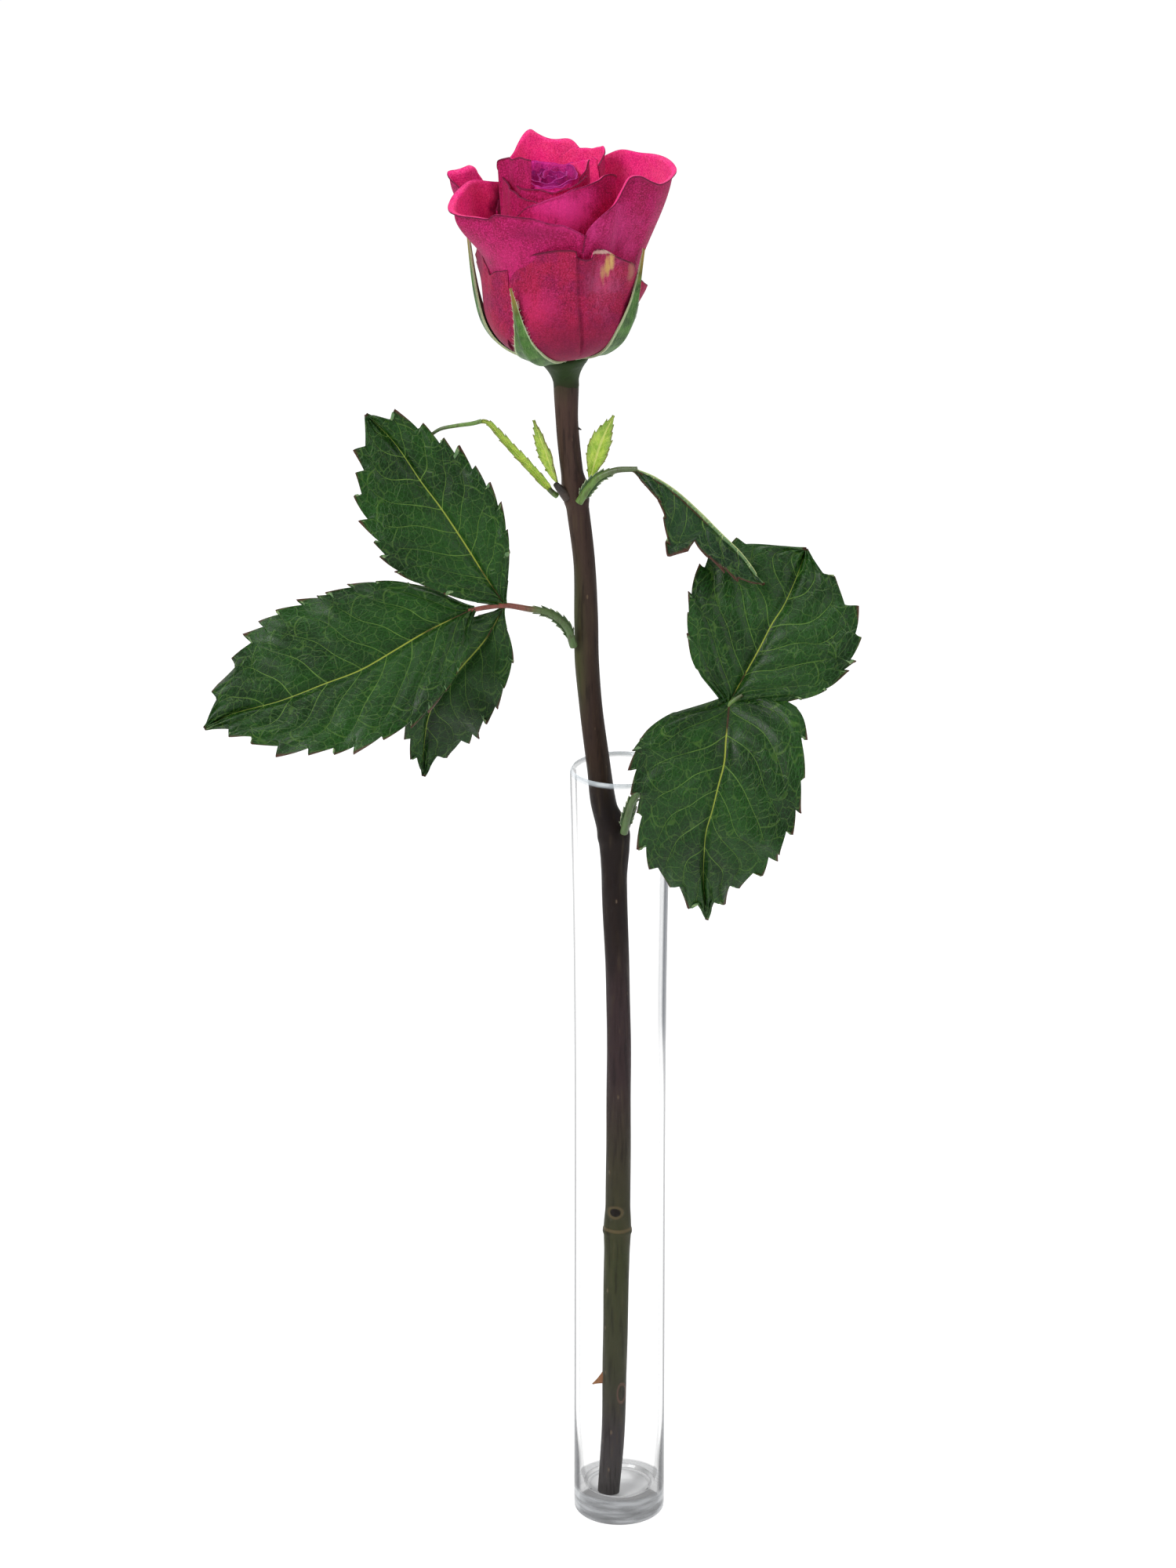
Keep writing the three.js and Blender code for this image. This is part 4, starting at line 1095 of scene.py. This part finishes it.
# the petals, roughly from the outside in
PETALS = [
    Petal("guard_left", 19.5, [
        (-21, 9, 23.5), (-20.5, 4, 28), (-19.5, 0, 31.5), (-18.5, -4, 31), (-17.5, -7, 28), (-17, -9, 27),
        (-15.5, -11, 28.5), (-12, -14.5, 30),
    ], flare=(0.3, 1.2), kind="guard"),
    Petal("guard_front", 20, [
        (-13.5, -11, 27.5), (-10.5, -15, 32), (-6.5, -18, 35), (-1.5, -20.5, 36.5), (3.5, -21.5, 37),
        (5.5, -22, 37), (6.5, -21.5, 34.5), (9.5, -21.5, 34.5), (10.5, -21.5, 36.5), (12, -21, 36.5),
        (15.5, -20, 34), (19.5, -15.5, 30), (20.5, -9, 23.5),
    ], flare=(0.5, 1.2), kind="guard", roll=(10, 60, 60, 50, 60, 20), lip=(0.6, 0.9, 0.9, 0.6, 0.8, 0.5),
       creases=[(0, 0.9, 0.05, 0.1, 1.2)], columns=110),
    Petal("guard_right", 19.8, [
        (20.5, -9, 23.5), (22.7, -2, 18.5), (20.5, 5, 18), (17, 12, 17), (12.5, 16.5, 16.5),
    ], flare=(0.6, 1.1), kind="guard"),
    Petal("guard_back", 20, [
        (14.5, 15, 17), (7.5, 19.5, 19), (0.5, 20.5, 20), (-8.5, 18.5, 20), (-15, 14, 21),
    ], flare=(0.6, 1.1), kind="guard"),
    Petal("front_left", 18.6, [
        (-11.5, 8, 44.5), (-14, 5.5, 46.5), (-20, 2.5, 48), (-23.5, -3, 47.5), (-25, -6, 46), (-25.5, -9, 45),
        (-24, -11, 44.5), (-19.5, -15, 44.5), (-15.5, -17, 45), (-14, -18, 46.5), (-9, -19, 46),
        (-4.5, -20, 45.5), (0, -20.5, 43.5), (3.5, -20.5, 43), (8.5, -20, 40), (9, -19, 37.5),
    ], flare=(0.6, 1), roll=(20, 50, 90, 100, 100, 80, 70, 50, 30),
       lip=(0.5, 0.7, 1, 1.2, 1.1, 0.9, 0.8, 0.7, 0.5), columns=120, ruffle=0.3),
    Petal("right", 19, [
        (7.5, -20.5, 36), (9, -20.5, 41), (13, -19.5, 44.5), (18.5, -18.5, 49), (20.5, -17, 53.5),
        (22.5, -16.5, 53.5), (26, -14, 50.5), (28, -12, 49), (31, -6, 49), (32, -2, 49), (29.5, 4.5, 49.5),
        (25, 11.5, 49), (18.5, 17, 48), (13.5, 19, 46),
    ], flare=(0.25, 1.15), roll=(20, 60, 90, 100, 90, 80, 70, 50, 20),
       lip=(0.5, 0.8, 1, 1.1, 1, 0.9, 0.8, 0.7, 0.5), creases=[(-0.5, 1.3, 0.09, 0.5, 1.2)], columns=120,
       ruffle=0.3),
    Petal("left_back", 17.8, [
        (-13.5, 17, 38), (-16, 15, 41), (-19, 11.5, 46), (-20, 9.5, 49.5), (-24, 6.5, 49.5), (-26, 5, 49.5),
        (-23.5, 1.5, 47), (-23, -1, 45.5),
    ], flare=(0.5, 1), roll=(20, 60, 90, 90, 60, 20), lip=(0.5, 0.8, 1, 1, 0.8, 0.5), ruffle=0.3),
    Petal("back", 17.2, [
        (12, 14, 47), (7.5, 18, 49.5), (4, 19.5, 51), (0, 20, 51.5), (-3.5, 20, 53), (-5, 19.5, 54),
        (-8, 17.5, 52), (-10.5, 13.5, 49), (-11.5, 10, 48),
    ], roll=(20, 70, 70, 20), lip=(0.5, 0.9, 0.9, 0.5), ruffle=0.3),
    Petal("back_right", 15.8, [
        (12.5, 6, 48.5), (14, 11, 50), (14, 13, 51), (11, 15.5, 49.5), (6.5, 17.5, 49.5), (3, 17.5, 48),
    ], roll=(20, 60, 60, 20)),
    Petal("left_mid", 13.5, [
        (-10.5, 5, 45), (-12.5, 4, 47.5), (-13, 0.5, 53), (-11.5, -1, 54.5), (-7.5, -5, 56), (-4.5, -8, 56.5),
    ], flare=(0.3, 1.1), roll=(20, 50, 60, 40), ruffle=0.3),
    Petal("front_inner", 16.4, [
        (-10.5, -13.5, 42.5), (-8, -15, 45), (-4.5, -16.5, 47.5), (1, -17, 49.5), (7, -16, 51),
        (12.5, -12.5, 51.5), (14, -11, 52), (17, -7.5, 50.5), (15, -7, 47),
    ], roll=(10, 40, 60, 80, 80, 40), lip=(0.5, 0.6, 0.9, 1.1, 1, 0.5), columns=96, ruffle=0.3),
    Petal("left_inner", 14, [
        (-12, -1, 50), (-10, -7, 49), (-7.5, -11, 48), (-3, -14.5, 47.5), (-0.5, -15, 47),
    ]),
    Petal("ring_left", 10.5, [
        (5, 5, 49.5), (2, 6, 50), (-1.5, 6, 50.5), (-4.5, 4.5, 51.5), (-7, 2.5, 50), (-8.5, -1, 47.5),
    ], kind="heart", roll=(30, 50, 20)),
    Petal("left_low", 15, [
        (-4, 15, 40), (-9.5, 12.5, 42), (-13, 8, 42), (-14.5, 2, 40),
    ]),
    Petal("heart_front", 12, [
        (-9, -3, 48.5), (-7.5, -8.5, 49.5), (-3.5, -12, 50), (1.5, -13, 49.5), (6, -11.5, 50), (9.5, -7, 51),
    ], roll=(30, 60, 60, 30), lip=(0.5, 0.8, 0.8, 0.5)),
    Petal("heart_right", 9, [
        (7, -7.5, 48.5), (9, -5.5, 51.5), (10.5, -3, 53.5), (9.5, 0, 52.5), (5.5, 5, 50),
    ], roll=(30, 50, 30)),
    Petal("heart_back", 8.5, [
        (6, 6, 50), (2.5, 6, 49.5), (-1, 3, 49.5), (-3, -4, 49),
    ], kind="heart", roll=(20, 40, 20)),
    Petal("inner_front", 9, [
        (-5, -5, 49.5), (-2.5, -9, 49.5), (2, -9, 49), (5.5, -5.5, 49),
    ], kind="heart", roll=(30, 60, 30), lip=(0.5, 0.7, 0.5)),
]

# the rolled middle of the flower: small petals on a tightening spiral, and how it starts, shrinks and turns
SPIRAL = {"petals": 9, "from": 7.6, "shrink": 0.78, "turn": 97, "spread": 84, "foot": 30, "height": 49.4}
SPIRAL_THICKNESS = 0.3

# the body that fills the petals' feet, as radius and height over the flower's seat
CORE = [(0, 1.9), (7, 2), (7.4, 6), (6.6, 20), (6.4, 34), (3.5, 43), (0, 44)]


def spiral_petal(order):
    """The petal of that order from the outside of the spiral in."""
    r = SPIRAL["from"] - SPIRAL["shrink"] * order
    middle = math.radians(SPIRAL["turn"] * order - 60)
    spread = math.radians(SPIRAL["spread"])
    tilt = 0.4 * math.sin(order * 2.1)

    def place(s, t):
        azimuth = middle + spread * s
        h = SPIRAL["foot"] + (SPIRAL["height"] + tilt - SPIRAL["foot"]) * t - 1.5 * s * s * t
        wave = 0.25 * math.sin(7 * s + order) + 0.18 * math.sin(13 * s + 2 * order)
        h += wave * t**4
        flare = (r - 0.5 * s) * (1.08 - 0.12 * t) + 0.35 * t**8
        return in_flower(azimuth, flare + 0.2 * wave * t**3, h)

    def flat(s, t):
        return (s * spread * r, (1 - t) * 16, order)

    return thicken(sheet(columns=36, rows=24, place=place, flat=flat), SPIRAL_THICKNESS)


def petal_finish(name, main, deep, light, warm, foot="701438", shade=0.0, glow=0.0, marks=()):
    """Velvety petal: fine veins towards the rim, soft blotches and grain, and a rim that darkens twice.

    deep also lies low on the petal as painted shade, as strongly as shade says, and glow is painted light:
    the petal gives off its own colour where light would come through it.
    marks holds places x, y, h in the flower's axes, each with its reach, its colour and how strong it is.
    """
    finish = Finish(
        name, Roughness=0.7, Specular_IOR_Level=0.15, Sheen_Weight=0.06, Sheen_Roughness=0.5,
        Subsurface_Weight=0.05, Subsurface_Radius=(1.0, 0.2, 0.3), Subsurface_Scale=0.003,
        Emission_Strength=glow,
    )
    blade, flat, place = finish.attribute("blade"), finish.attribute("flat"), finish.place()
    t = finish.split(blade, "Y")
    fibre = finish.noise(finish.scaled(flat, (1.0, 0.2, 1)), 1.6, 5.0, 0.7)
    velvet = finish.noise(place, 2600, 3.0, 0.75)
    cloud = finish.noise(place, 170, 4.0, 0.65)
    gap = finish.split(flat, "Y") + 0.9 * (finish.noise(flat, 0.8, 2.0) - 0.5)
    base = finish.coats(
        finish.blend(finish.rise(cloud, 0.36, 0.64), main, warm),
        (finish.rise(fibre, 0.45, 0.75) * 0.4, deep),
        (finish.rise(velvet, 0.48, 0.66) * 0.65, deep),
        (finish.rise(velvet, 0.5, 0.34) * 0.45, light),
        (finish.rise(gap, 3, 0.6) * 0.45, deep),
        (finish.rise(gap, 0.7, 0.1) * 0.6, deep),
        (finish.rise(t, 0.55, 0.05) * 0.65, foot),
        # painted shade: deep over the lower part of the petal
        (finish.rise(t, 0.88, 0.5) * shade, deep),
    )
    rough = 1.4 * (fibre - 0.5) + 2.2 * (cloud - 0.5) + 0.5 * (velvet - 0.5)
    for (x, y, h), reach, colour, share in marks:
        centre = in_flower(math.atan2(y, x), math.hypot(x, y), h)
        mark = finish.rise(finish.from_spot(place, centre, reach) + rough, 1.4, 0.2)
        base = finish.blend(mark * share, base, colour)
    height = 0.5 * fibre + 0.5 * velvet
    # painted light: the petal glows in its own colour
    return finish.set(Base_Color=base, Emission_Color=base).bump(height, 0.1).material


def build_bloom():
    # painted light on the outer faces: painted highlights in the middle of the front petal, on the right
    # petal and low on the front left one, a painted shadow under the front petals' lips, and a faint painted
    # glow
    outer = petal_finish("petal_outer", "aa0e58", "4a0426", "de408e", "9c0c4a", glow=0.04, marks=[
        ((4, -16.5, 45.5), (9, 8, 5), "dc3488", 0.6), ((-3, -20, 41.5), (9, 5, 2.4), "700c34", 0.45),
        ((16.5, -17, 37), (7, 7, 9), "c84084", 0.4), ((-12, -17, 34), (8, 7, 5), "cc2870", 0.35),
    ])
    # the inner faces: their hot pink is partly their own colour and partly painted light coming through the
    # petals; they glow, darken low down as painted shade and carry a painted shadow deep in the fold on the
    # left
    inner = petal_finish(
        "petal_inner", "e8247a", "a41058", "fa66a8", "e83878", foot="7a0a40", shade=0.4, glow=0.15,
        marks=[((-13.5, 4, 39), (2.6, 8, 9), "400420", 0.85)],
    )
    # painted light on the guard petals: painted shadows down the front fold and low on the bowl, painted
    # highlights at the front left and right, and a faint painted glow; the yellow streaks and the pale frayed
    # notch in the rim are the petal's own marks
    guard = petal_finish("petal_guard", "8e0e46", "3c0420", "bc3e74", "a41440", glow=0.03, marks=[
        ((8, -22, 27), (3, 5, 12), "640e38", 0.55), ((-5.5, -19, 21), (6, 6, 6), "ce2a66", 0.4),
        ((2, -20.5, 13), (11, 8, 6), "700c30", 0.5), ((12.5, -20.5, 25), (4.5, 6, 9), "cc5884", 0.45),
        ((14.4, -20.1, 32.8), (0.7, 5, 2.8), "c8a464", 0.9),
        ((13.2, -20.4, 31), (0.7, 5, 3.4), "c09858", 0.9),
        ((11.9, -20.8, 28.6), (0.7, 5, 3), "b88a58", 0.8), ((19, -14.5, 27.5), (1, 4, 3.6), "a06858", 0.8),
        ((12.5, -21, 35.9), (4, 5, 0.6), "c8a498", 0.85),
    ])
    # the heart glows a little: painted light
    heart = petal_finish("petal_heart", "cc2492", "801268", "e868c0", "d42c8a", foot="9c1868", glow=0.1)
    kinds = {"side": (outer, inner), "guard": (guard, inner), "heart": (heart, heart)}
    for petal in PETALS:
        piece("petal_" + petal.name, petal.mesh(), kinds[petal.kind], "bloom", sharp=75)
    for order in range(SPIRAL["petals"]):
        piece(f"petal_spiral_{order + 1}", spiral_petal(order), (heart, heart), "bloom")
    core = turned(rounded(CORE, 4), segments=40, seat=flower_matrix())
    piece("petal_core", core, [heart], "bloom")


# ---------------------------------------------------------------- calyx
# each sepal's direction at its foot and at its tip, how high it ends, how far it leans out there, its girth
SEPALS = [
    (-115, -121, 27, 0, "slim"), (-32, -25, 32, 2.8, "broad"), (26, 26, 24, 1.8, "broad"),
    (98, 98, 26, 0.6, "broad"), (188, 170, 35, 0.4, "slim"),
]
SEPAL_HALF_WIDTHS = {
    "slim": [3.4, 4.6, 5, 4.8, 4, 2.7, 1.7, 1.1, 0.7, 0.25],
    "broad": [3.4, 4.6, 5.3, 5.7, 5.5, 4, 2.4, 1.5, 0.8, 0.25],
}
# the hip's outline from its foot, hidden in the stem, to its top: radius and height over the flower's seat
HIP = [
    (0, -9.5), (2.6, -9.5), (3.2, -9), (3.35, -7), (4, -4.8), (5.2, -2.6), (6.1, -1.4), (6.6, -0.5), (7, 0.4),
    (6.4, 1.2), (0, 1.6),
]


def sepal_finish(name, under=False):
    """Downy green leaf with pale fibres, a pale rim and a dry brown tip; paler on its inner side."""
    finish = Finish(name, Roughness=0.65, Specular_IOR_Level=0.2, Sheen_Weight=0.2, Sheen_Roughness=0.4)
    s, t, flat = finish.laid()
    fibre = finish.noise(finish.scaled(flat, (1, 0.15, 1)), 3.0, 4.0)
    cloud = finish.noise(flat, 0.35, 3.0)
    down = finish.noise(finish.scaled(flat, (1, 0.4, 1)), 9, 2.0)
    base = finish.coats(
        finish.blend(finish.rise(cloud, 0.35, 0.65), "2a4c1e", "45702e"),
        (finish.rise(fibre, 0.45, 0.7) * 0.4, "7c9a58"),
        (finish.rise(down, 0.55, 0.75) * 0.5, "a8b48c"),
        (finish.rise(t, 0.72, 1.0) * 0.8, "a07a3c"),
        (finish.rise(abs(s) + 0.1 * fibre, 0.88, 1.02) * 0.7, "c4d0a4"),
    )
    if under:
        base = finish.blend(0.5, base, "b8c8a0")
    return finish.set(Base_Color=base).bump(fibre, 0.12).material


def off_cup(h, distance):
    """Radius and height of a point at a distance outside the cup."""
    step = 0.05
    slope = CUP_RADIUS * (cup(h + step) - cup(h - step)) / (2 * step)
    share = distance / math.hypot(1, slope)
    return CUP_RADIUS * cup(h) + share, h - slope * share


def sepal(root, end, tip, lean, girth):
    """A leafy lobe that hugs the cup, keeled along its middle, and the fine hairs along its two edges."""
    off = SEPAL_STAND_OFF
    line = [(5.6, 0.1), off_cup(2.2, off - 0.2)] + [off_cup(h, off) for h in (3.8, 6.8, 11)]
    line += [off_cup(17, off + 0.3 + lean / 3), (CUP_RADIUS + off + 1.3 + lean, tip)]
    path = Path([(r, 0, h) for r, h in line])
    widths = SEPAL_HALF_WIDTHS[girth]

    def place(s, t):
        point, tangent = path.at(t), path.along(t)
        azimuth = math.radians(root + (end - root) * t) - s * smooth_list(widths, t) / point.x
        keel = 0.7 * hill(s, 0, 0.3) * eased(t, 0.05, 0.2) * (1 - 0.6 * t) - 0.3 * s * s
        keel += 0.12 * math.sin(9 * t + root) * abs(s)
        return in_flower(azimuth, point.x + keel * tangent.z, point.z - keel * tangent.x)

    def flat(s, t):
        return (s * smooth_list(widths, t), t * path.length, root)

    # turned round, so that its face points outwards
    blade = sheet(columns=24, rows=80, place=lambda s, t: place(-s, t), flat=flat)
    blade = thicken(blade, SEPAL_THICKNESS)
    chance = random.Random(root)
    hairs = bmesh.new()
    for _ in range(HAIRS):
        s, t = chance.choice((-1, 1)) * chance.uniform(0.93, 1), chance.uniform(0.06, 0.97)
        foot = place(s, t)
        way = (place(s, t) - place(s * 0.8, t)).normalized() + (place(s, t + 0.02) - foot).normalized() * 0.8
        way += Vector([chance.uniform(-0.4, 0.4) for _ in range(3)])
        long = chance.uniform(*HAIR_LENGTHS)
        turn = Vector((0, 0, 1)).rotation_difference(way).to_matrix().to_4x4()
        matrix = Matrix.Translation((foot + way.normalized() * (long / 2)) * MM) @ turn
        bmesh.ops.create_cone(
            hairs, segments=3, radius1=HAIR_RADII[0] * MM, radius2=HAIR_RADII[1] * MM, depth=long * MM,
            cap_ends=True, matrix=matrix,
        )
    return blade, hairs


def hip_finish():
    """Green skin that takes the stem's colour towards its foot."""
    finish = Finish("hip_skin", Roughness=0.55, Specular_IOR_Level=0.15)
    place = finish.place()
    streak = finish.noise(finish.scaled(place, (1, 1, 0.2)), 900, 3.0)
    cloud = finish.noise(place, 260, 3.0)
    base = finish.coats(
        finish.blend(cloud, "1c3010", "2c3e1a"),
        (finish.rise(finish.split(place, "Z"), 0.3235, 0.3195), "262c14"),
        (finish.rise(streak, 0.5, 0.7) * 0.4, "1c2612"),
    )
    return finish.set(Base_Color=base).bump(streak, 0.1).material


def hair_finish():
    """Pale down."""
    finish = Finish("sepal_hair", Roughness=0.5)
    cloud = finish.noise(finish.place(), 400, 2.0)
    return finish.set(Base_Color=finish.blend(cloud, "cfd6c0", "a8b48c")).material


def build_calyx():
    hip = turned(rounded(HIP, 4), segments=64, seat=flower_matrix())
    piece("hip", hip, [hip_finish()], "calyx")
    top, under, hair = sepal_finish("sepal_outer"), sepal_finish("sepal_inner", under=True), hair_finish()
    for i, lobe in enumerate(SEPALS):
        blade, hairs = sepal(*lobe)
        piece(f"sepal_{i + 1}", blade, [top, under], "calyx")
        piece(f"sepal_hairs_{i + 1}", hairs, [hair], None)


# ---------------------------------------------------------------- floor, light and camera
# how far the floor reaches each way, in metres, and the light that it gives off
FLOOR_REACH = 6
FLOOR_GLOW = 0.92
# the surroundings' light in front and at the sides, and towards the back
SURROUNDINGS = ((0.0, (0.2, 0.205, 0.21, 1)), (0.75, (0.42, 0.43, 0.44, 1)))
# each lamp's place, aim and side, in metres, and its power, in watts
LAMPS = {
    "softbox_left": ((-0.9, -0.9, 1.1), (0, 0, 0.25), 0.7, 17),
    "softbox_right": ((1.1, -0.7, 0.8), (0, 0, 0.25), 0.9, 7),
    "softbox_top": ((0, 0.35, 1.3), (0, 0, 0.3), 0.8, 9),
}


def build_floor():
    """A plain white floor, greyer far off and to the sides."""
    floor = bmesh.new()
    bmesh.ops.create_grid(floor, x_segments=1, y_segments=1, size=FLOOR_REACH)
    mesh = bpy.data.meshes.new("floor")
    floor.to_mesh(mesh)
    floor.free()
    ground = bpy.data.objects.new("floor", mesh)
    bpy.context.scene.collection.objects.link(ground)
    pale = Finish("floor_white", Roughness=0.9, Specular_IOR_Level=0.0, Emission_Strength=FLOOR_GLOW)
    x, y = pale.split(pale.place(), "X"), pale.split(pale.place(), "Y")
    lit = pale.rise(abs(x) - 0.12 * y, 0.34, 0.2) * pale.rise(y, -0.16, -0.05)
    base, glow = pale.blend(lit, "e0e0e0", "909090"), pale.blend(lit, "8c8c8c", "ffffff")
    pale.set(Base_Color=base, Emission_Color=glow)
    mesh.materials.append(pale.material)


def build_surroundings():
    """Even grey light from all round, brighter from behind."""
    world = bpy.data.worlds.new("studio")
    world.use_nodes = True
    tree = world.node_tree
    toward = tree.nodes.new("ShaderNodeTexCoord").outputs["Generated"]
    split = tree.nodes.new("ShaderNodeSeparateXYZ")
    ramp = tree.nodes.new("ShaderNodeValToRGB")
    for stop, (share, colour) in zip(ramp.color_ramp.elements, SURROUNDINGS):
        stop.position = share
        stop.color = colour
    tree.links.new(toward, split.inputs[0])
    tree.links.new(split.outputs["Y"], ramp.inputs[0])
    tree.links.new(ramp.outputs[0], tree.nodes["Background"].inputs["Color"])
    bpy.context.scene.world = world


def build_lamps():
    for name, (place, aim, size, power) in LAMPS.items():
        lamp = bpy.data.lights.new(name, "AREA")
        lamp.shape = "SQUARE"
        lamp.size = size
        lamp.energy = power
        holder = bpy.data.objects.new(name, lamp)
        bpy.context.scene.collection.objects.link(holder)
        holder.location = place
        holder.rotation_mode = "QUATERNION"
        holder.rotation_quaternion = (Vector(aim) - Vector(place)).to_track_quat("-Z", "Y")


def build_camera():
    lens = bpy.data.cameras.new("camera")
    lens.lens = LENS
    lens.sensor_width = FRAME_SIDE
    lens.clip_start, lens.clip_end = CLIP
    camera = bpy.data.objects.new("camera", lens)
    camera.location = CAMERA_PLACE
    camera.rotation_euler = (math.radians(90 - CAMERA_PITCH), 0, 0)
    bpy.context.scene.collection.objects.link(camera)
    bpy.context.scene.camera = camera


build_camera()
build_floor()
build_surroundings()
build_lamps()
build_vase()
build_stem()
build_calyx()
build_bloom()
build_leaves()
bpy.context.scene.view_settings.view_transform = "Standard"
